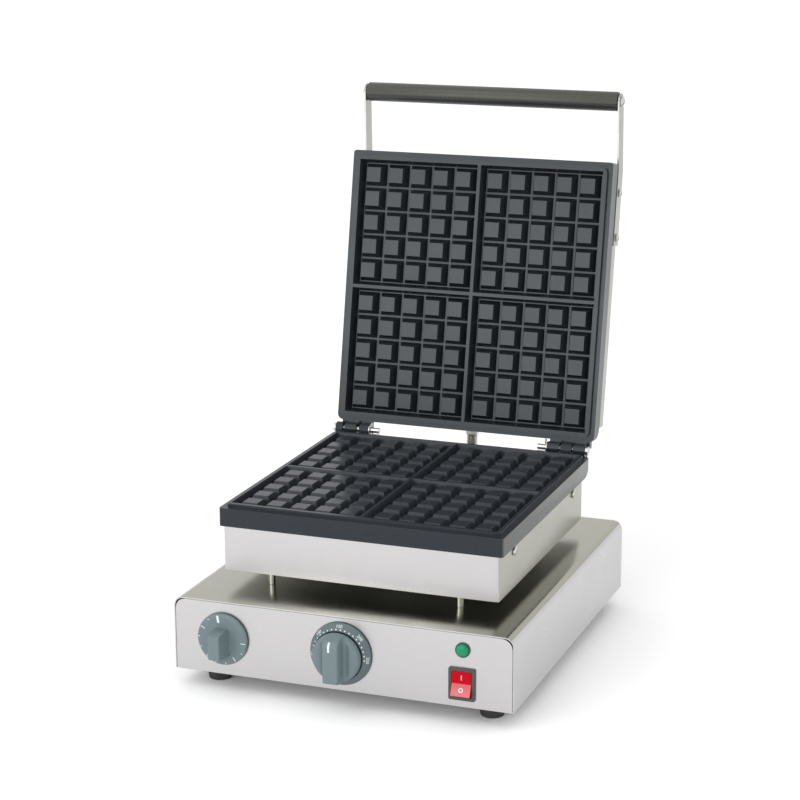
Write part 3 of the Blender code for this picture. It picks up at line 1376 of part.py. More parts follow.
def terminal_block():
    width, depth, height = TERMINAL_SIZE
    bottom = BASE_Z + BASE_SHEET + GAP
    y = BASE_DEPTH - TERMINAL_INSET_Y
    block = box(
        (TERMINAL_X - width / 2, TERMINAL_X + width / 2), (y - depth / 2, y + depth / 2), (bottom, bottom + height)
    )
    obj = add_part("terminal_block", block, CERAMIC)
    bevel = obj.modifiers.new("edges", "BEVEL")
    bevel.width = TERMINAL_BEVEL
    bevel.segments = 1


def centre_on_floor():
    """Moves the whole object so that its bounding box stands centred on the origin."""
    bpy.context.view_layer.update()
    graph = bpy.context.evaluated_depsgraph_get()
    corners = []
    for obj in PARTS.objects:
        if obj.type == "MESH":
            made = obj.evaluated_get(graph)
            corners += [made.matrix_world @ vert.co for vert in made.data.vertices]
    low = Vector(map(min, zip(*corners)))
    high = Vector(map(max, zip(*corners)))
    middle = (low + high) / 2
    shift = Vector((-middle.x, -middle.y, -low.z))
    for obj in list(PARTS.objects) + list(CUTTERS.objects):
        if obj.parent is None:
            obj.location += shift


def empty(name, matrix):
    obj = bpy.data.objects.new(name, None)
    PARTS.objects.link(obj)
    obj.matrix_world = matrix
    return obj


def build():
    base_cover()
    front_panel()
    rear_panel()
    floor_plate()
    feet()
    columns()
    seat = empty("lower_seat", Matrix.Translation((0, HINGE_Y, HINGE_Z)))
    lower_casting(seat)
    lower_shroud(seat)
    heater("lower_heater", seat)
    clamp_plate("lower_clamp_plate", seat)
    shroud_screws(seat)
    lid = empty("lid_hinge", lid_matrix() @ TURN_OVER)
    upper_casting(lid)
    upper_cover(lid)
    heater("upper_heater", lid)
    clamp_plate("upper_clamp_plate", lid)
    handle(lid)
    hinge_pins()
    conduit()
    mains_gland()
    control_bodies()
    thermostat_bulb()
    timer_knob()
    thermostat_dial()
    thermostat_knob()
    pilot_lamp()
    rocker_switch()
    terminal_block()
    centre_on_floor()


build()
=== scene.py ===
"""The open waffle iron: its visible pieces, finishes, light and camera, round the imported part."""

import json
import math

import bmesh
import bpy
from mathutils import Matrix, Vector
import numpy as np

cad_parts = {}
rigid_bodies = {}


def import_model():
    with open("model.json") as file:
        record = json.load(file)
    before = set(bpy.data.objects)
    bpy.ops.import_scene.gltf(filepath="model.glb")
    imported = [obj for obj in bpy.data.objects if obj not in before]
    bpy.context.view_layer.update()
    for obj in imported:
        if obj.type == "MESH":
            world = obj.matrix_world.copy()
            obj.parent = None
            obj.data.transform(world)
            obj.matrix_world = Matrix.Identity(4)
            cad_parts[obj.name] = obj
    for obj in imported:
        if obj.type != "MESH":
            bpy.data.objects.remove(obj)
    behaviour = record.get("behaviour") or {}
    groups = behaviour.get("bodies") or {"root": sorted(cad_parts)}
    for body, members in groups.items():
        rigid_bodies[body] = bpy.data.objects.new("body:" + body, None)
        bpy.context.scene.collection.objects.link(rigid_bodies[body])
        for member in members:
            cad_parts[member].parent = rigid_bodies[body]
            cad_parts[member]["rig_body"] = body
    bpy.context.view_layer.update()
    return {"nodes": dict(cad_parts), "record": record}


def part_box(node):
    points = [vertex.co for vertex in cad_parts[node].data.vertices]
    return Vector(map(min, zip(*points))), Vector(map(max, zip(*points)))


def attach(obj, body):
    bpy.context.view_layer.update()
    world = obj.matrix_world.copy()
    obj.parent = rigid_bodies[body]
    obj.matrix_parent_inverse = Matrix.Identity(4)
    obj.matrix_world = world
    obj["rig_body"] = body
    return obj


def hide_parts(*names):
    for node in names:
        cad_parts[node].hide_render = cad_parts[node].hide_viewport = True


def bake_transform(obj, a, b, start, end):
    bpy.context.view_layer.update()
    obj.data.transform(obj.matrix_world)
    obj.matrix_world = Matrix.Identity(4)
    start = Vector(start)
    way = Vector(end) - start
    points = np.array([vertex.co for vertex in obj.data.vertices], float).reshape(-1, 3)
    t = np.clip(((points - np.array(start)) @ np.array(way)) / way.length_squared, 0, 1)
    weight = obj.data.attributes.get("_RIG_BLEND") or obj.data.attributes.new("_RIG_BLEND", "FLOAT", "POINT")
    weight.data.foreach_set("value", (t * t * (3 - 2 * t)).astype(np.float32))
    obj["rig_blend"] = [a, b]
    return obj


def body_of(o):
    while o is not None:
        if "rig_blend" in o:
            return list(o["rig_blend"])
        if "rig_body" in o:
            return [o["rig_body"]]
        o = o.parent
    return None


MM = 0.001

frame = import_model()
NODES = frame["nodes"]
SLOT_OF = {part["node"]: part["material_slot"] for part in frame["record"]["subparts"]}


# Finishes

BEVEL_SAMPLES = 4
# Where the lighter edge colour fades in: partly rubbed iron, partly a painted edge highlight
WEAR_AND_SHEEN_BETWEEN = (0.75, 0.98)
SMOOTHEST = 0.03


def node(tree, kind, **inputs):
    made = tree.nodes.new(kind)
    for name, value in inputs.items():
        made.inputs[name.replace("_", " ")].default_value = value
    return made


def noise(tree, stretch, scale, detail=4.0, roughness=0.6):
    """Noise over the object's own coordinates, stretched along its axes."""
    place = tree.nodes.new("ShaderNodeTexCoord")
    mapping = node(tree, "ShaderNodeMapping", Scale=stretch)
    made = node(tree, "ShaderNodeTexNoise", Scale=scale, Detail=detail, Roughness=roughness)
    tree.links.new(place.outputs["Object"], mapping.inputs["Vector"])
    tree.links.new(mapping.outputs["Vector"], made.inputs["Vector"])
    return made.outputs["Fac"]


def spread_over(tree, source, low, high, start=0.3, end=0.7):
    made = node(tree, "ShaderNodeMapRange", To_Min=low, To_Max=high, From_Min=start, From_Max=end)
    tree.links.new(source, made.inputs["Value"])
    return made.outputs["Result"]


def blend_colours(tree, factor, first, second):
    made = tree.nodes.new("ShaderNodeMix")
    made.data_type = "RGBA"
    colours = [socket for socket in made.inputs if socket.type == "RGBA"]
    for socket, colour in zip(colours, (first, second)):
        if isinstance(colour, tuple):
            socket.default_value = (*colour, 1)
        else:
            tree.links.new(colour, socket)
    tree.links.new(factor, made.inputs[0])
    return [socket for socket in made.outputs if socket.type == "RGBA"][0]


def wear_and_sheen_edge(tree, radius, share):
    """How much of the lighter edge colour a spot gets, partly for rubbed iron and partly as a painted edge
    highlight: share on an edge, nothing where the surface is flat.
    """
    bevel = node(tree, "ShaderNodeBevel", Radius=radius)
    bevel.samples = BEVEL_SAMPLES
    plain = tree.nodes.new("ShaderNodeNewGeometry")
    dot = tree.nodes.new("ShaderNodeVectorMath")
    dot.operation = "DOT_PRODUCT"
    tree.links.new(bevel.outputs["Normal"], dot.inputs[0])
    tree.links.new(plain.outputs["Normal"], dot.inputs[1])
    return spread_over(tree, dot.outputs["Value"], share, 0, *WEAR_AND_SHEEN_BETWEEN)


def finish(
    name,
    colour,
    rough,
    metallic=0.0,
    tone=0.1,
    stretch=(1, 1, 1),
    grain=900,
    bump=0.15,
    relief=0.03 * MM,
    rough_spread=0.06,
    cloud=25,
    wear_and_sheen=None,
    specular=0.5,
    tint=(1, 1, 1),
):
    """A procedural finish: fine grain in colour and relief, slow clouds in gloss, and lighter edges that
    stand partly for rubbed iron and partly for a painted edge highlight.
    """
    made = bpy.data.materials.new("finish_" + name)
    made.use_nodes = True
    tree = made.node_tree
    shader = tree.nodes["Principled BSDF"]
    fine = noise(tree, stretch, grain)
    clouds = noise(tree, (1, 1, 1), cloud, detail=3.0)
    dark = tuple(part * (1 - tone) for part in colour)
    light = tuple(min(1, part * (1 + tone)) for part in colour)
    shade = blend_colours(tree, spread_over(tree, fine, 0, 1), dark, light)
    # Lighter edges mixed in, partly rubbed iron and partly a painted edge highlight
    if wear_and_sheen:
        worn_and_sheen_colour, radius, share = wear_and_sheen
        shade = blend_colours(tree, wear_and_sheen_edge(tree, radius, share), shade, worn_and_sheen_colour)
    tree.links.new(shade, shader.inputs["Base Color"])
    low, high = max(SMOOTHEST, rough - rough_spread), min(1, rough + rough_spread)
    tree.links.new(spread_over(tree, clouds, low, high), shader.inputs["Roughness"])
    relief_node = node(tree, "ShaderNodeBump", Strength=bump, Distance=relief)
    tree.links.new(fine, relief_node.inputs["Height"])
    tree.links.new(relief_node.outputs["Normal"], shader.inputs["Normal"])
    shader.inputs["Metallic"].default_value = metallic
    shader.inputs["Specular IOR Level"].default_value = specular
    shader.inputs["Specular Tint"].default_value = (*tint, 1)
    return made


STEEL = {
    "metallic": 1.0,
    "tone": 0.03,
    "stretch": (1, 14, 30),
    "grain": 160,
    "bump": 0.02,
    "rough_spread": 0.03,
}
UPRIGHT_STEEL = {"metallic": 1.0, "tone": 0.04, "stretch": (30, 30, 1), "grain": 160, "bump": 0.03}
CAST = {
    "tone": 0.3,
    "grain": 1500,
    "bump": 0.4,
    "relief": 0.05 * MM,
    # Lighter edge colour, partly rubbed iron and partly a painted edge highlight
    "wear_and_sheen": ((0.1, 0.115, 0.125), 0.35 * MM, 0.6),
    "rough_spread": 0.03,
    "tint": (0.9, 0.97, 1.0),
}
CHROME = {"metallic": 1.0, "tone": 0.04, "grain": 500, "bump": 0.03}
ZINC = {"metallic": 1.0, "tone": 0.1, "grain": 500, "bump": 0.1}
HEATER = {"metallic": 1.0, "tone": 0.2, "grain": 500, "bump": 0.2}
CERAMIC = {"tone": 0.05, "grain": 500, "bump": 0.12}
RUBBER = {"tone": 0.2, "grain": 700, "bump": 0.3}
PLASTIC = {"tone": 0.12, "grain": 1100, "bump": 0.2}
KNOB = {"tone": 0.05, "grain": 1200, "bump": 0.12}
PRINT = {"tone": 0.05, "grain": 1200, "bump": 0.08}
GRIP = {"tone": 0.35, "stretch": (1, 6, 6), "grain": 420, "bump": 0.3}
# The grip's downward faces: painted shade
GRIP_PAINTED_SHADE = {**GRIP, "tone": 0.3, "bump": 0.2}
LENS = {"tone": 0.3, "grain": 900, "bump": 0.12, "relief": 0.1 * MM, "specular": 0.3}
ROCKER = {"tone": 0.06, "grain": 600, "bump": 0.04}

# Colour, roughness and the rest of each finish
LOOKS = {
    "stainless": ((0.55, 0.54, 0.545), 0.3, STEEL),
    # Darker copy of stainless for the shroud's and cover's side faces: painted shade
    "painted_shade_side_stainless": ((0.4, 0.395, 0.355), 0.3, STEEL),
    # Darker, olive copy of stainless for the base's top: painted shade standing for the darker surroundings
    # it reflects
    "painted_shade_top_stainless": ((0.36, 0.36, 0.305), 0.2, STEEL),
    # Darker copy of stainless for the handle arms: painted shade
    "painted_shade_arm_stainless": ((0.385, 0.385, 0.36), 0.3, UPRIGHT_STEEL),
    "cast": ((0.021, 0.0245, 0.029), 0.2, {**CAST, "specular": 0.34}),
    # Lighter copy of the cast finish for the lower plate: painted light
    "cast_lower_painted_light": ((0.026, 0.03, 0.036), 0.24, {**CAST, "specular": 0.19}),
    # Lighter copy of the cast finish for the lower plate's outer side: painted light
    "cast_painted_lit_side": ((0.062, 0.063, 0.062), 0.24, {**CAST, "specular": 0.4}),
    "chrome": ((0.55, 0.55, 0.5), 0.1, CHROME),
    "rubber": ((0.03, 0.03, 0.03), 0.75, RUBBER),
    "grip": ((0.05, 0.05, 0.038), 0.34, GRIP),
    # Near-black copy of the grip plastic for its underside: painted shade
    "grip_painted_underside_shade": ((0.02, 0.021, 0.022), 0.34, GRIP_PAINTED_SHADE),
    "knob": ((0.13, 0.178, 0.19), 0.45, KNOB),
    "dial": ((0.096, 0.133, 0.143), 0.45, KNOB),
    "mark": ((0.72, 0.76, 0.76), 0.5, PRINT),
    "lens": ((0.003, 0.23, 0.115), 0.2, LENS),
    "plastic": ((0.055, 0.052, 0.048), 0.5, PLASTIC),
    "rocker": ((0.45, 0.002, 0.01), 0.3, {**ROCKER, "specular": 0.06}),
    # Lighter red for the rocker's lower face: painted highlight
    "rocker_painted_highlight": ((0.55, 0.05, 0.055), 0.35, {**ROCKER, "specular": 0.9}),
    "zinc": ((0.6, 0.59, 0.55), 0.3, ZINC),
    "heater_steel": ((0.2, 0.19, 0.18), 0.5, HEATER),
    "ceramic": ((0.78, 0.76, 0.7), 0.55, CERAMIC),
}
FINISHES = {name: finish(name, colour, rough, **look) for name, (colour, rough, look) in LOOKS.items()}
FINISH_OF_SLOT = {
    "stainless": "stainless",
    "cast_black": "cast",
    "foot_rubber": "rubber",
    "grip_plastic": "grip",
    "knob_grey": "knob",
    "lens_green": "lens",
    "black_plastic": "plastic",
    "rocker_red": "rocker",
    "zinc": "zinc",
    "heater_steel": "heater_steel",
    "ceramic": "ceramic",
}


# Pieces

MERGE = 0.002 * MM
FLAT_DEG = 1
SHARP_DEG = 35
EDGE_SEGMENTS = 2


def mesh_of(bm, name="shape"):
    mesh = bpy.data.meshes.new(name)
    bm.to_mesh(mesh)
    bm.free()
    return mesh


def merged(source):
    """A node's form as one clean mesh without its split facets."""
    bm = bmesh.new()
    bm.from_mesh(NODES[source].data)
    bmesh.ops.remove_doubles(bm, verts=bm.verts, dist=MERGE)
    bmesh.ops.dissolve_limit(bm, angle_limit=math.radians(FLAT_DEG), verts=bm.verts, edges=bm.edges)
    mesh = mesh_of(bm, "visible_" + source)
    for name in ("custom_normal", "sharp_face", "sharp_edge"):
        if name in mesh.attributes:
            mesh.attributes.remove(mesh.attributes[name])
    return mesh


def show(source, mesh, keys, width=0, sharp=SHARP_DEG, rides=True):
    """Adds a visible piece with rounded edges, on its body, in place of its CAD node."""
    obj = bpy.data.objects.new("visible_" + source, mesh)
    bpy.context.scene.collection.objects.link(obj)
    for key in keys:
        mesh.materials.append(FINISHES[key])
    mesh.shade_smooth()
    mesh.set_sharp_from_angle(angle=math.radians(sharp))
    if width:
        bevel = obj.modifiers.new("edges", "BEVEL")
        bevel.width = width
        bevel.segments = EDGE_SEGMENTS
        bevel.limit_method = "ANGLE"
        bevel.angle_limit = math.radians(sharp)
        bevel.harden_normals = True
    if rides:
        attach(obj, body_of(NODES[source])[0])
    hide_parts(source)
    return obj


def face_finish(mesh, rule, index):
    """Gives a finish to the faces that meet a rule."""
    for face in mesh.polygons:
        if rule(face):
            face.material_index = index


# Edge rounding by slot, and what picks a node's finish and the darker or lighter copy of it painted on some
# faces as shade and light

EDGE = {
    "stainless": 0.3 * MM,
    "zinc": 0.25 * MM,
    "cast_black": 0.35 * MM,
    "foot_rubber": 0.8 * MM,
    "grip_plastic": 0.4 * MM,
}
PLAIN_EDGE = 0.3 * MM
MOSTLY = 0.8
UNDER_GRIP = -0.12
SIDE_MARGIN = 3 * MM
# Material index of the copy painted as shade, and on the lower plate's side as light
SECOND = 1
# The lower plate gets the lighter copy of the cast finish: painted light
FINISH_OF_NODE = {"lower_plate": "cast_lower_painted_light"}
FINISH_OF_NODE.update({name: "chrome" for name in NODES if name.startswith("column")})
# The handle arms get the darker copy of stainless: painted shade
FINISH_OF_NODE.update({name: "painted_shade_arm_stainless" for name in NODES if name.startswith("handle_arm")})


def dress(name):
    """Shows a node's own form in its finish, with a darker copy on some faces as painted shade (shroud and
    cover sides, base top, grip underside) and a lighter copy on the lower plate's outer side as painted
    light.
    """
    slot = SLOT_OF[name]
    mesh = merged(name)
    keys = [FINISH_OF_NODE.get(name, FINISH_OF_SLOT[slot])]
    # The faces that point left and right get the darker copy of stainless: painted shade
    if name in ("lower_shroud", "upper_cover"):
        keys.append("painted_shade_side_stainless")
        face_finish(mesh, lambda face: abs(face.normal.x) > MOSTLY, SECOND)
    # The faces that point up get the darker copy of stainless: painted shade
    if name == "base_cover":
        keys.append("painted_shade_top_stainless")
        face_finish(mesh, lambda face: face.normal.z > MOSTLY, SECOND)
    # The grip's faces that point down get the near-black copy: painted shade
    if name == "handle_grip":
        keys.append("grip_painted_underside_shade")
        face_finish(mesh, lambda face: face.normal.z < UNDER_GRIP, SECOND)
    # The lower plate's outer right side gets the lighter copy of the cast finish: painted light
    if name == "lower_plate":
        keys.append("cast_painted_lit_side")
        outside = max(vertex.co.x for vertex in mesh.vertices) - SIDE_MARGIN
        face_finish(mesh, lambda face: face.center.x > outside and face.normal.x > MOSTLY, SECOND)
    show(name, mesh, keys, EDGE.get(slot, PLAIN_EDGE))


# Pieces shaped here, each along +Z from the panel's face and turned to the front

KNOB_SHARP_DEG = 32
ROW_MARGIN = 1.06
MARK = 0.12 * MM
MARK_INDEX = 1


def front_seat(source):
    """The place on the panel's face behind a control, with +Z towards the front."""
    low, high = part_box(source)
    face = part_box("front_panel")[0].y
    centre = Vector(((low.x + high.x) / 2, face, (low.z + high.z) / 2))
    return Matrix.Translation(centre) @ Matrix.Rotation(math.radians(90), 4, "X")


def scaled(values, unit=MM):
    return [value * unit for value in values]


def mirrored(values):
    return sorted({-v for v in values} | set(values))


def eased(share):
    return math.sqrt(max(0, 1 - share ** 2))


def circle(radius, sides):
    """The points of a circle as (x, y) pairs."""
    turns = (2 * math.pi * i / sides for i in range(sides))
    return [(radius * math.cos(a), radius * math.sin(a)) for a in turns]


def lathe(profile, sides):
    """A turned solid about Z from (radius, height) points that start and end on the axis."""
    bm = bmesh.new()
    rings = []
    for radius, height in profile:
        if radius == 0:
            rings.append([bm.verts.new((0, 0, height))])
        else:
            rings.append([bm.verts.new((x, y, height)) for x, y in circle(radius, sides)])
    for lower, upper in zip(rings, rings[1:]):
        for i in range(sides):
            j = (i + 1) % sides
            corners = [lower[i % len(lower)], lower[j % len(lower)]]
            corners += [upper[j % len(upper)], upper[i % len(upper)]]
            bm.faces.new(list(dict.fromkeys(corners)))
    bmesh.ops.recalc_face_normals(bm, faces=bm.faces)
    return bm


def relief_disc(radius, columns, rows, height, low, straight, foot_share=1.0):
    """A round solid whose front follows height(x, y), with a wall down to a flat back."""
    bm = bmesh.new()
    grid = []
    for x in columns:
        half = math.sqrt(radius ** 2 - x ** 2)
        squeeze = min(1, half / (straight * ROW_MARGIN))
        line = []
        for row in rows:
            inner = min(abs(row), straight) * squeeze
            outer = max(0, abs(row) - straight) / (radius - straight)
            y = math.copysign(inner + (half - straight * squeeze) * outer, row)
            line.append(bm.verts.new((x, y, height(x, y))))
        grid.append(line)
    for left, right in zip(grid, grid[1:]):
        for i in range(len(rows) - 1):
            bm.faces.new((left[i], right[i], right[i + 1], left[i + 1]))
    edge = grid[0][:0:-1] + [line[0] for line in grid] + grid[-1][1:] + [line[-1] for line in grid[-2:0:-1]]
    foot = [bm.verts.new((v.co.x * foot_share, v.co.y * foot_share, low)) for v in edge]
    for i in range(len(edge)):
        j = (i + 1) % len(edge)
        bm.faces.new((edge[j], edge[i], foot[i], foot[j]))
    bm.faces.new(foot)
    bmesh.ops.recalc_face_normals(bm, faces=bm.faces)
    return bm


def add_cylinder(bm, radius, depth, place, sides):
    """A round bar along Z with its middle at a place."""
    return bmesh.ops.create_cone(
        bm, cap_ends=True, segments=sides, radius1=radius, radius2=radius, depth=depth, matrix=place
    )


def paint(made):
    """Gives new geometry the finish of the marks."""
    for face in {face for vertex in made["verts"] for face in vertex.link_faces}:
        face.material_index = MARK_INDEX


def add_block(bm, place, size):
    """A thin raised mark with its middle at a place."""
    paint(bmesh.ops.create_cube(bm, size=1, matrix=place @ Matrix.Diagonal((*size, 1))))


def add_ring(bm, centre, radius, width, thick, sides=24):
    """A thin raised ring."""
    inner, outer = radius - width / 2, radius + width / 2
    rings = []
    for reach, rise in ((inner, 0), (outer, 0), (outer, thick), (inner, thick)):
        points = (Vector(centre) + Vector((x, y, rise)) for x, y in circle(reach, sides))
        rings.append([bm.verts.new(point) for point in points])
    faces = []
    for a, b in zip(rings, rings[1:] + rings[:1]):
        for i in range(sides):
            j = (i + 1) % sides
            faces.append(bm.faces.new((a[i], a[j], b[j], b[i])))
    for face in faces:
        face.material_index = MARK_INDEX
    bmesh.ops.recalc_face_normals(bm, faces=faces)


def add_number(bm, text, size, place, thick):
    """Plain digits as a thin raised print."""
    curve = bpy.data.curves.new("digits", "FONT")
    curve.body = text
    curve.size = size
    curve.align_x = "CENTER"
    curve.align_y = "CENTER"
    curve.extrude = thick / 2
    curve.resolution_u = 3
    holder = bpy.data.objects.new("digits", curve)
    mesh = bpy.data.meshes.new_from_object(holder)
    mesh.transform(place)
    first = len(bm.faces)
    bm.from_mesh(mesh)
    bm.faces.ensure_lookup_table()
    for face in bm.faces[first:]:
        face.material_index = MARK_INDEX
    bpy.data.objects.remove(holder)
    bpy.data.meshes.remove(mesh)
    bpy.data.curves.remove(curve)


# Timer knob: a disc with a bar across it and strokes round its edge

TIMER_RADIUS = 25.6 * MM
TIMER_LOW = 0.6 * MM
TIMER_FACE = 4.6 * MM
TIMER_ROUNDING = 2.6 * MM
TIMER_TOP = 23.6 * MM
TIMER_STRAIGHT = 16 * MM
TIMER_FOOT_SHARE = 0.98
TIMER_HALF_WIDTH = 5.7 * MM
TIMER_HALF_LENGTH = 13.2 * MM
TIMER_FIN_DROP = 2.4 * MM
TIMER_SIDE_SPREAD = 2.2 * MM
TIMER_SIDE_FOOT = 0.25 * MM
TIMER_CROWN_DROP = 0.6 * MM
TIMER_CROWN_WIDTH = 0.8 * MM
TIMER_END_START = 0.84
TIMER_END_SPAN = 0.17
TIMER_BAR_COLUMNS_MM = (0, 3.2, 4.9, 5.4, 5.7, 5.9, 6.4, 6.9, 7.4, 7.9, 8.6)
TIMER_COLUMN_SHARES = (0.46, 0.58, 0.7, 0.8, 0.87, 0.92, 0.955, 0.98, 0.993, 0.998)
TIMER_BAR_ROW_SHARES = (0, 0.3, 0.6, 0.8, 0.86, 0.9, 0.94, 0.97, 0.99, 1.0, 1.01)
TIMER_ROW_SHARES = (0.66, 0.77, 0.87, 0.93, 0.957, 0.977, 0.992, 1)
TIMER_MARKS = 11
TIMER_MARK_STEP_DEG = 25.6
TIMER_MARK_START_DEG = 10
TIMER_LONG_MARKS = (2, 8, 10)
TIMER_MARK_SIZES = {
    "first": (2.2 * MM, 7 * MM, 20.4 * MM),
    "long": (0.7 * MM, 4.6 * MM, 21.8 * MM),
    "short": (0.6 * MM, 1.6 * MM, 23.2 * MM),
}


def timer_height(x, y):
    rim = max(0, math.hypot(x, y) - (TIMER_RADIUS - TIMER_ROUNDING)) / TIMER_ROUNDING
    face = TIMER_FACE - TIMER_ROUNDING * (1 - eased(min(1, rim)))
    along = abs(y + TIMER_FIN_DROP) / TIMER_HALF_LENGTH
    if along >= 1:
        return face
    spread = TIMER_SIDE_SPREAD * eased(along)
    beyond = max(0, abs(x) - TIMER_HALF_WIDTH) / (spread + TIMER_SIDE_FOOT)
    if beyond >= 1:
        return face
    near_edge = max(0, (abs(x) - TIMER_HALF_WIDTH + TIMER_CROWN_WIDTH) / TIMER_CROWN_WIDTH)
    top = TIMER_TOP - TIMER_CROWN_DROP * near_edge ** 2
    end = eased(max(0, (along - TIMER_END_START) / TIMER_END_SPAN))
    return face + (top - face) * end * (1 - beyond)


def timer_mark(bm, i):
    kind = "first" if i == 0 else "long" if i in TIMER_LONG_MARKS else "short"
    wide, length, reach = TIMER_MARK_SIZES[kind]
    turn = math.radians(TIMER_MARK_START_DEG + TIMER_MARK_STEP_DEG * i)
    place = Matrix.Translation((-reach * math.sin(turn), reach * math.cos(turn), TIMER_FACE))
    add_block(bm, place @ Matrix.Rotation(turn, 4, "Z"), (wide, length, 2 * MARK))


def timer_knob():
    columns = mirrored(scaled(TIMER_BAR_COLUMNS_MM) + scaled(TIMER_COLUMN_SHARES, TIMER_RADIUS))
    bar_rows = mirrored(scaled(TIMER_BAR_ROW_SHARES, TIMER_HALF_LENGTH))
    rows = [row - TIMER_FIN_DROP for row in bar_rows]
    rows = sorted(rows + mirrored(scaled(TIMER_ROW_SHARES, TIMER_RADIUS)))
    shape = (timer_height, TIMER_LOW, TIMER_STRAIGHT, TIMER_FOOT_SHARE)
    bm = relief_disc(TIMER_RADIUS, columns, rows, *shape)
    for i in range(TIMER_MARKS):
        timer_mark(bm, i)
    mesh = mesh_of(bm)
    mesh.transform(front_seat("timer_knob"))
    show("timer_knob", mesh, ["knob", "mark"], sharp=KNOB_SHARP_DEG)


# Thermostat knob: a round cap on a hub, with a bar across it and an index on the bar

DIAL_KNOB_RADIUS = 23.6 * MM
DIAL_KNOB_LOW = 10.6 * MM
DIAL_KNOB_FACE = 17.4 * MM
DIAL_KNOB_ROUNDING = 4.6 * MM
DIAL_KNOB_TOP = 29.2 * MM
DIAL_KNOB_STRAIGHT = 12 * MM
DIAL_HUB_RADIUS = 19 * MM
DIAL_HUB_FOOT = 5.8 * MM
DIAL_HUB_SIDES = 64
DIAL_FIN_REACH = 21 * MM
DIAL_FIN_EDGE = 7.4 * MM
DIAL_FIN_FOOT = 8.3 * MM
DIAL_FIN_CROWN_DROP = 0.7 * MM
DIAL_FIN_CROWN_WIDTH = 0.9 * MM
DIAL_FIN_UPPER_END = 15 * MM
DIAL_FIN_UPPER_SPAN = 7 * MM
DIAL_FIN_LOWER_END = 18.5 * MM
DIAL_FIN_LOWER_SHARE = 0.7
SCOOP_REACH = 14.5 * MM
SCOOP_DEPTH = 0.9 * MM
DIAL_BAR_COLUMNS_MM = (0, 3.5, 6.4, 6.9, 7.2, 7.4, 7.8, 8.3, 9.4, 10.6, 11.6, 12.6, 13.6, 14.5)
DIAL_RIM_COLUMNS_MM = (16, 18, 20, 21.4, 22.3, 23, 23.4, 23.56)
DIAL_BAR_ROWS_MM = (0, 4, 8, 11, 14, 15.5, 17, 18.5, 19.2, 19.9, 20.5, 20.9, 21.1)
DIAL_RIM_ROWS_MM = (21.7, 22.4, 23, 23.4, 23.6)
INDEX_SPAN = (10.8 * MM, 19.8 * MM)
INDEX_OFFSET = -1.1 * MM
INDEX_WIDTH = 2.1 * MM
INDEX_STEPS = 8
INDEX_OVERLAP = 1.1


def fin_end(y):
    """How much of the bar's height is left along it: softly rounded at its upper end."""
    if y > DIAL_FIN_UPPER_END:
        return eased(min(1, (y - DIAL_FIN_UPPER_END) / DIAL_FIN_UPPER_SPAN))
    if y < -DIAL_FIN_LOWER_END:
        beyond = (-DIAL_FIN_LOWER_END - y) / (DIAL_FIN_REACH - DIAL_FIN_LOWER_END)
        return DIAL_FIN_LOWER_SHARE + (1 - DIAL_FIN_LOWER_SHARE) * eased(beyond) if beyond < 1 else 0
    return 1.0


def thermostat_height(x, y):
    rim = max(0, math.hypot(x, y) - (DIAL_KNOB_RADIUS - DIAL_KNOB_ROUNDING)) / DIAL_KNOB_ROUNDING
    face = DIAL_KNOB_FACE - DIAL_KNOB_ROUNDING * (1 - eased(min(1, rim)))
    span = abs(x)
    if span >= DIAL_FIN_FOOT:
        along = (span - DIAL_FIN_FOOT) / (SCOOP_REACH - DIAL_FIN_FOOT)
        return face - SCOOP_DEPTH * math.sin(math.pi * along) ** 2 if along < 1 else face
    top = face + (DIAL_KNOB_TOP - face) * fin_end(y)
    if span <= DIAL_FIN_EDGE:
        near_edge = max(0, (span - DIAL_FIN_EDGE + DIAL_FIN_CROWN_WIDTH) / DIAL_FIN_CROWN_WIDTH)
        return top - DIAL_FIN_CROWN_DROP * near_edge ** 2
    edge = top - DIAL_FIN_CROWN_DROP
    return edge + (face - edge) * (span - DIAL_FIN_EDGE) / (DIAL_FIN_FOOT - DIAL_FIN_EDGE)


def index_mark(bm):
    """A stroke of short steps that follows the bar's top down over its rounded end."""
    low, high = INDEX_SPAN
    step = (high - low) / INDEX_STEPS
    for i in range(INDEX_STEPS):
        y = low + (i + 0.5) * step
        tilt = (thermostat_height(0, y + MARK) - thermostat_height(0, y - MARK)) / (2 * MARK)
        place = Matrix.Translation((INDEX_OFFSET, y, thermostat_height(0, y)))
        lean = Matrix.Rotation(math.atan(tilt), 4, "X")
        add_block(bm, place @ lean, (INDEX_WIDTH, step * INDEX_OVERLAP, 3 * MARK))


def thermostat_knob():
    columns = mirrored(scaled(DIAL_BAR_COLUMNS_MM + DIAL_RIM_COLUMNS_MM))
    rows = mirrored(scaled(DIAL_BAR_ROWS_MM + DIAL_RIM_ROWS_MM))
    shape = (thermostat_height, DIAL_KNOB_LOW, DIAL_KNOB_STRAIGHT)
    bm = relief_disc(DIAL_KNOB_RADIUS, columns, rows, *shape)
    depth = DIAL_KNOB_LOW - DIAL_HUB_FOOT
    middle = Matrix.Translation((0, 0, DIAL_HUB_FOOT + depth / 2))
    add_cylinder(bm, DIAL_HUB_RADIUS, depth, middle, DIAL_HUB_SIDES)
    index_mark(bm)
    mesh = mesh_of(bm)
    mesh.transform(front_seat("thermostat_knob"))
    show("thermostat_knob", mesh, ["knob", "mark"], sharp=KNOB_SHARP_DEG)


# Thermostat dial: a sloped ring with dots and plain numbers

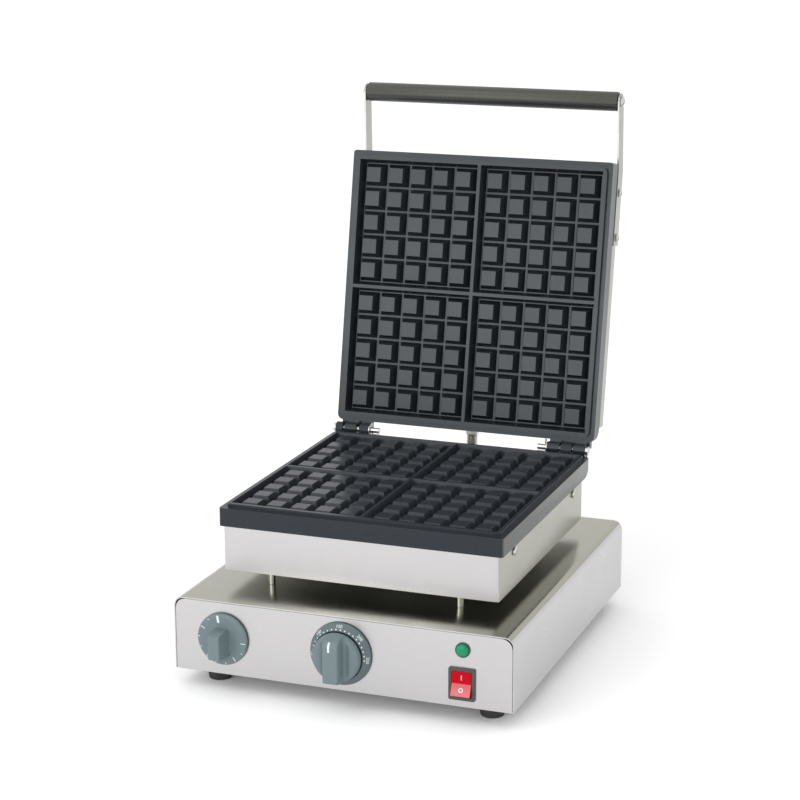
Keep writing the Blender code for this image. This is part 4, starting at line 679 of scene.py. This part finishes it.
DIAL_RADIUS = 30.5 * MM
DIAL_WELL = 24.3 * MM
DIAL_FLOOR = 2.5 * MM
DIAL_LIP = 8.6 * MM
DIAL_EDGE = 2 * MM
DIAL_BACK = 0.3 * MM
DIAL_UNDERCUT = 1.6 * MM
DIAL_LIP_ROUNDING_MM = ((0, 0.4), (0.15, 0.15), (0.4, 0.4))
DIAL_EDGE_ROUNDING_MM = ((0.35, 0.35), (0.05, -0.1), (0, -0.5))
DIAL_SIDES = 96
DIAL_SLOPE = (DIAL_LIP - DIAL_EDGE) / (DIAL_RADIUS - DIAL_WELL)
DIAL_MARK_SPAN_DEG = 188
DIAL_DOTS = 20
DIAL_DOT_REACH = 25.5 * MM
DIAL_DOT_RADIUS = 0.72 * MM
DIAL_DOT_SIDES = 12
DIAL_NUMBERS = ("50", "100", "150", "200", "250")
DIAL_NUMBER_REACH = 27.8 * MM
DIAL_NUMBER_SIZE = 4.4 * MM


def dial_profile():
    """The ring's section: a well, a lip, a sloped face and an undercut edge."""
    lip = [(DIAL_WELL + out * MM, DIAL_LIP - down * MM) for out, down in DIAL_LIP_ROUNDING_MM]
    edge = [(DIAL_RADIUS - back * MM, DIAL_EDGE + up * MM) for back, up in DIAL_EDGE_ROUNDING_MM]
    foot = [(DIAL_RADIUS - DIAL_UNDERCUT, DIAL_BACK), (0, DIAL_BACK)]
    return [(0, DIAL_FLOOR), (DIAL_WELL, DIAL_FLOOR)] + lip + edge + foot


def on_slope(share, reach):
    """The seat of a mark on the sloped face, at a share of the scale, with its top away from the middle."""
    turn = math.radians(DIAL_MARK_SPAN_DEG * (0.5 - share))
    rise = DIAL_LIP - DIAL_SLOPE * (reach - DIAL_WELL)
    lean = Matrix.Translation((0, reach, rise)) @ Matrix.Rotation(-math.atan(DIAL_SLOPE), 4, "X")
    return Matrix.Rotation(turn, 4, "Z") @ lean


def thermostat_dial():
    bm = lathe(dial_profile(), DIAL_SIDES)
    for i in range(DIAL_DOTS):
        place = on_slope(i / (DIAL_DOTS - 1), DIAL_DOT_REACH)
        paint(add_cylinder(bm, DIAL_DOT_RADIUS, 2 * MARK, place, DIAL_DOT_SIDES))
    for i, text in enumerate(DIAL_NUMBERS):
        place = on_slope(i / (len(DIAL_NUMBERS) - 1), DIAL_NUMBER_REACH)
        add_number(bm, text, DIAL_NUMBER_SIZE, place, 2 * MARK)
    mesh = mesh_of(bm)
    mesh.transform(front_seat("thermostat_dial"))
    show("thermostat_dial", mesh, ["dial", "mark"], sharp=KNOB_SHARP_DEG)


# Pilot lens

LENS_RADIUS = 6.15 * MM
LENS_BACK = 0.6 * MM
LENS_RIM = 1.6 * MM
LENS_DOME = 3.1 * MM
LENS_STEPS = 8
LENS_SIDES = 40


def pilot_lens():
    """A low green dome on a short rim."""
    profile = [(0, LENS_BACK), (LENS_RADIUS, LENS_BACK), (LENS_RADIUS, LENS_RIM)]
    for i in range(1, LENS_STEPS):
        turn = math.pi / 2 * i / LENS_STEPS
        profile.append((LENS_RADIUS * math.cos(turn), LENS_RIM + LENS_DOME * math.sin(turn)))
    profile.append((0, LENS_RIM + LENS_DOME))
    mesh = mesh_of(lathe(profile, LENS_SIDES))
    mesh.transform(front_seat("pilot_lens"))
    show("pilot_lens", mesh, ["lens"])


# Rocker

PAINTED_HIGHLIGHT_INDEX = 2
BAR_SIGN = (0.7 * MM, 4.4 * MM)
RING_SIGN = (1.8 * MM, 0.8 * MM)


def upright_seat(face):
    """The seat of a sign in the middle of a face."""
    up = Vector((0, 0, 1)) - face.normal * face.normal.z
    seat = Matrix((Vector((1, 0, 0)), up.normalized(), face.normal)).transposed().to_4x4()
    seat.translation = face.calc_center_median()
    return seat


def rocker():
    """The rocker with a bar and a ring, the common on and off signs."""
    bm = bmesh.new()
    bm.from_mesh(merged("switch_rocker"))
    forward = (face for face in bm.faces if face.normal.y < -MOSTLY)
    fronts = sorted(forward, key=lambda face: -face.calc_area())[:2]
    lower, upper = sorted(fronts, key=lambda face: face.calc_center_median().z)
    # The lower front face gets the lighter red: painted highlight for the light its upturned face catches
    lower.material_index = PAINTED_HIGHLIGHT_INDEX
    seats = (upright_seat(upper), upright_seat(lower))
    bar, ring = bmesh.new(), bmesh.new()
    add_block(bar, Matrix(), (*BAR_SIGN, 2 * MARK))
    add_ring(ring, (0, 0, -MARK), *RING_SIGN, 2 * MARK)
    for sign, seat in zip((bar, ring), seats):
        mesh = mesh_of(sign)
        mesh.transform(seat)
        bm.from_mesh(mesh)
    show("switch_rocker", mesh_of(bm), ["rocker", "mark", "rocker_painted_highlight"])


# Screw heads with a slot

SCREW_HEAD = (4.2 * MM, 2.4 * MM)
GRIP_SCREW_HEAD = (5.4 * MM, 2.6 * MM)
HEAD_OF = {"arm_screw": SCREW_HEAD, "shroud_screw": SCREW_HEAD, "grip_screw": GRIP_SCREW_HEAD}
SCREW_SHANK = 8 * MM
SHANK_SHARE = 0.5
SHANK_SIDES = 20
SLOT_WIDTH_SHARE = 0.13
SLOT_DEPTH_SHARE = 0.35
SLOT_WALL = (0.98, 1.02)
SLOT_TURN_DEG = 35
HEAD_RIM_SHARE = 0.45
HEAD_COLUMN_SHARES = (0.35, 0.6, 0.8, 0.92, 0.985)
HEAD_ROW_SHARES = (0, 0.25, 0.5, 0.7, 0.85, 0.95, 1)
SCREW_SHARP_DEG = 40


def slotted_head(source, radius, rise, way):
    """A low round head with a driver slot on a plain shank."""
    slot_half, slot_deep = SLOT_WIDTH_SHARE * radius, SLOT_DEPTH_SHARE * rise
    columns = mirrored(scaled(SLOT_WALL, slot_half) + scaled(HEAD_COLUMN_SHARES, radius))
    rows = mirrored(scaled(HEAD_ROW_SHARES, radius))

    def height(x, y):
        round_off = eased(min(1, math.hypot(x, y) / radius))
        dome = rise * (HEAD_RIM_SHARE + (1 - HEAD_RIM_SHARE) * round_off)
        return dome - slot_deep if abs(x) < slot_half else dome

    bm = relief_disc(radius, columns, rows, height, 0, radius * SHANK_SHARE)
    middle = Matrix.Translation((0, 0, -SCREW_SHANK / 2))
    add_cylinder(bm, radius * SHANK_SHARE, SCREW_SHANK, middle, SHANK_SIDES)
    mesh = mesh_of(bm)
    low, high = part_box(source)
    centre = (low + high) / 2
    centre.x = high.x - rise if way > 0 else low.x + rise
    turn = Matrix.Rotation(math.radians(90 * way), 4, "Y")
    slot_turn = Matrix.Rotation(math.radians(SLOT_TURN_DEG), 4, "Z")
    mesh.transform(Matrix.Translation(centre) @ turn @ slot_turn)
    show(source, mesh, ["zinc"], sharp=SCREW_SHARP_DEG)


def head_of(name):
    return next((head for start, head in HEAD_OF.items() if name.startswith(start)), None)


def side_screws():
    for name in sorted(NODES):
        if head_of(name):
            slotted_head(name, *head_of(name), -1 if "_left" in name else 1)


# Ribbed conduit

CONDUIT_RIBS = 96
CONDUIT_SIDES = 20
CONDUIT_RADII = (5.3 * MM, 5.75 * MM, 6.2 * MM, 5.75 * MM)
CONDUIT_BULGE = 62 * MM
CONDUIT_START = Vector((0, 0.16931, 0.16499))
CONDUIT_END = Vector((0, 0.17292, 0.0613))
CONDUIT_SHARP_DEG = 60
LID_OPEN = math.radians(101)


def conduit_point(t, handles):
    """The middle of the hose and its direction, at a share of its length."""
    weights = ((1 - t) ** 3, 3 * t * (1 - t) ** 2, 3 * t ** 2 * (1 - t), t ** 3)
    slopes = (-3 * (1 - t) ** 2, 3 * (1 - t) * (1 - 3 * t), 3 * t * (2 - 3 * t), 3 * t ** 2)
    centre = sum((w * h for w, h in zip(weights, handles)), Vector())
    along = sum((w * h for w, h in zip(slopes, handles)), Vector())
    return centre, along.normalized()


def conduit():
    """A ribbed hose bowed from the lid's gland to the rear panel's gland, which bends as the lid moves."""
    heading = Vector((0, math.cos(LID_OPEN), -math.sin(LID_OPEN)))
    behind = Vector((0, CONDUIT_BULGE, 0))
    handles = (CONDUIT_START, CONDUIT_START + heading * CONDUIT_BULGE, CONDUIT_END + behind, CONDUIT_END)
    across = Vector((1, 0, 0))
    count = CONDUIT_RIBS * len(CONDUIT_RADII)
    bm = bmesh.new()
    rings = []
    for i in range(count + 1):
        centre, along = conduit_point(i / count, handles)
        up = across.cross(along)
        points = circle(CONDUIT_RADII[i % len(CONDUIT_RADII)], CONDUIT_SIDES)
        rings.append([bm.verts.new(centre + x * across + y * up) for x, y in points])
    for first, second in zip(rings, rings[1:]):
        for k in range(CONDUIT_SIDES):
            n = (k + 1) % CONDUIT_SIDES
            bm.faces.new((first[k], first[n], second[n], second[k]))
    bm.faces.new(rings[0])
    bm.faces.new(rings[-1])
    bmesh.ops.recalc_face_normals(bm, faces=bm.faces)
    piece = show("lead_conduit", mesh_of(bm), ["zinc"], sharp=CONDUIT_SHARP_DEG, rides=False)
    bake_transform(piece, "lid", "base", start=tuple(CONDUIT_START), end=tuple(CONDUIT_END))


SHAPED = {
    "timer_knob": timer_knob,
    "thermostat_knob": thermostat_knob,
    "thermostat_dial": thermostat_dial,
    "pilot_lens": pilot_lens,
    "switch_rocker": rocker,
    "lead_conduit": conduit,
}


def dress_all():
    for shape in SHAPED.values():
        shape()
    side_screws()
    for name in sorted(NODES):
        if name not in SHAPED and not head_of(name):
            dress(name)


dress_all()


# Camera, light and floor

CAMERA_FROM_BASE_FRONT = (0.73662, -1.79781, 0.79976)
CAMERA_TURN_DEG = 20.48
CAMERA_DOWN_DEG = 14.59
CAMERA_ROLL_DEG = -0.17
FOCAL_PIXELS = 2235.55
IMAGE_PIXELS = 800
SENSOR = 36.0
CAMERA_SHIFT = (-0.00634, 0.00143)
WORLD_STRENGTH = 1.12
LAMPS = {
    "front_softbox": ((-0.72, -1.98, 0.7), (0, 0.16, 0.35), (1.3, 0.62), 8),
    "key": ((-0.9, -1.7, 2.4), (0, 0, 0.2), (1.6, 1.4), 10),
}
FLOOR_HALF = 30
FLOOR_CELLS = 8
FLOOR_COLOUR = (0.98, 0.98, 0.98, 1)


def add_camera():
    """The camera of the photograph, from its fitted place, turn and focal length."""
    turn, down, roll = (math.radians(a) for a in (CAMERA_TURN_DEG, CAMERA_DOWN_DEG, CAMERA_ROLL_DEG))
    ahead = Vector((-math.sin(turn) * math.cos(down), math.cos(turn) * math.cos(down), -math.sin(down)))
    level = Vector((math.cos(turn), math.sin(turn), 0))
    upright = level.cross(ahead)
    right = level * math.cos(roll) + upright * math.sin(roll)
    up = upright * math.cos(roll) - level * math.sin(roll)
    lens = bpy.data.cameras.new("camera")
    lens.sensor_width = SENSOR
    lens.lens = FOCAL_PIXELS * SENSOR / IMAGE_PIXELS
    lens.shift_x, lens.shift_y = CAMERA_SHIFT
    camera = bpy.data.objects.new("camera", lens)
    bpy.context.scene.collection.objects.link(camera)
    place = Matrix((right, up, -ahead)).transposed().to_4x4()
    x, y, z = CAMERA_FROM_BASE_FRONT
    place.translation = (x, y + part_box("base_cover")[0].y, z)
    camera.matrix_world = place
    bpy.context.scene.camera = camera


def add_lamp(name, place, target, size, power):
    """A soft rectangular lamp that faces a target."""
    light = bpy.data.lights.new(name, "AREA")
    light.shape = "RECTANGLE"
    light.size, light.size_y = size
    light.energy = power
    lamp = bpy.data.objects.new(name, light)
    bpy.context.scene.collection.objects.link(lamp)
    lamp.location = place
    lamp.rotation_euler = (Vector(target) - Vector(place)).to_track_quat("-Z", "Y").to_euler()


def clamped_sum(tree, first, second):
    made = tree.nodes.new("ShaderNodeMath")
    made.operation = "ADD"
    made.use_clamp = True
    tree.links.new(first, made.inputs[0])
    tree.links.new(second, made.inputs[1])
    return made.outputs[0]


def add_world(strength):
    """White light all round, which the camera, reflections and clear pieces see at strength 1."""
    world = bpy.data.worlds.new("studio")
    bpy.context.scene.world = world
    world.use_nodes = True
    tree = world.node_tree
    background = tree.nodes["Background"]
    background.inputs["Color"].default_value = (1, 1, 1, 1)
    path = tree.nodes.new("ShaderNodeLightPath")
    bounced = clamped_sum(tree, path.outputs["Is Glossy Ray"], path.outputs["Is Transmission Ray"])
    seen = clamped_sum(tree, path.outputs["Is Camera Ray"], bounced)
    level = node(tree, "ShaderNodeMapRange", To_Min=strength, To_Max=1.0)
    tree.links.new(seen, level.inputs["Value"])
    tree.links.new(level.outputs["Result"], background.inputs["Strength"])


def add_floor():
    bm = bmesh.new()
    bmesh.ops.create_grid(bm, x_segments=FLOOR_CELLS, y_segments=FLOOR_CELLS, size=FLOOR_HALF)
    mesh = mesh_of(bm, "floor")
    floor = bpy.data.objects.new("floor", mesh)
    bpy.context.scene.collection.objects.link(floor)
    pale = bpy.data.materials.new("pale_floor")
    pale.use_nodes = True
    shader = pale.node_tree.nodes["Principled BSDF"]
    shader.inputs["Base Color"].default_value = FLOOR_COLOUR
    shader.inputs["Roughness"].default_value = 0.9
    shader.inputs["Specular IOR Level"].default_value = 0.1
    mesh.materials.append(pale)


def add_studio():
    bpy.context.scene.view_settings.view_transform = "Standard"
    add_world(WORLD_STRENGTH)
    for name, (place, target, size, power) in LAMPS.items():
        add_lamp(name, place, target, size, power)
    add_floor()


add_camera()
add_studio()
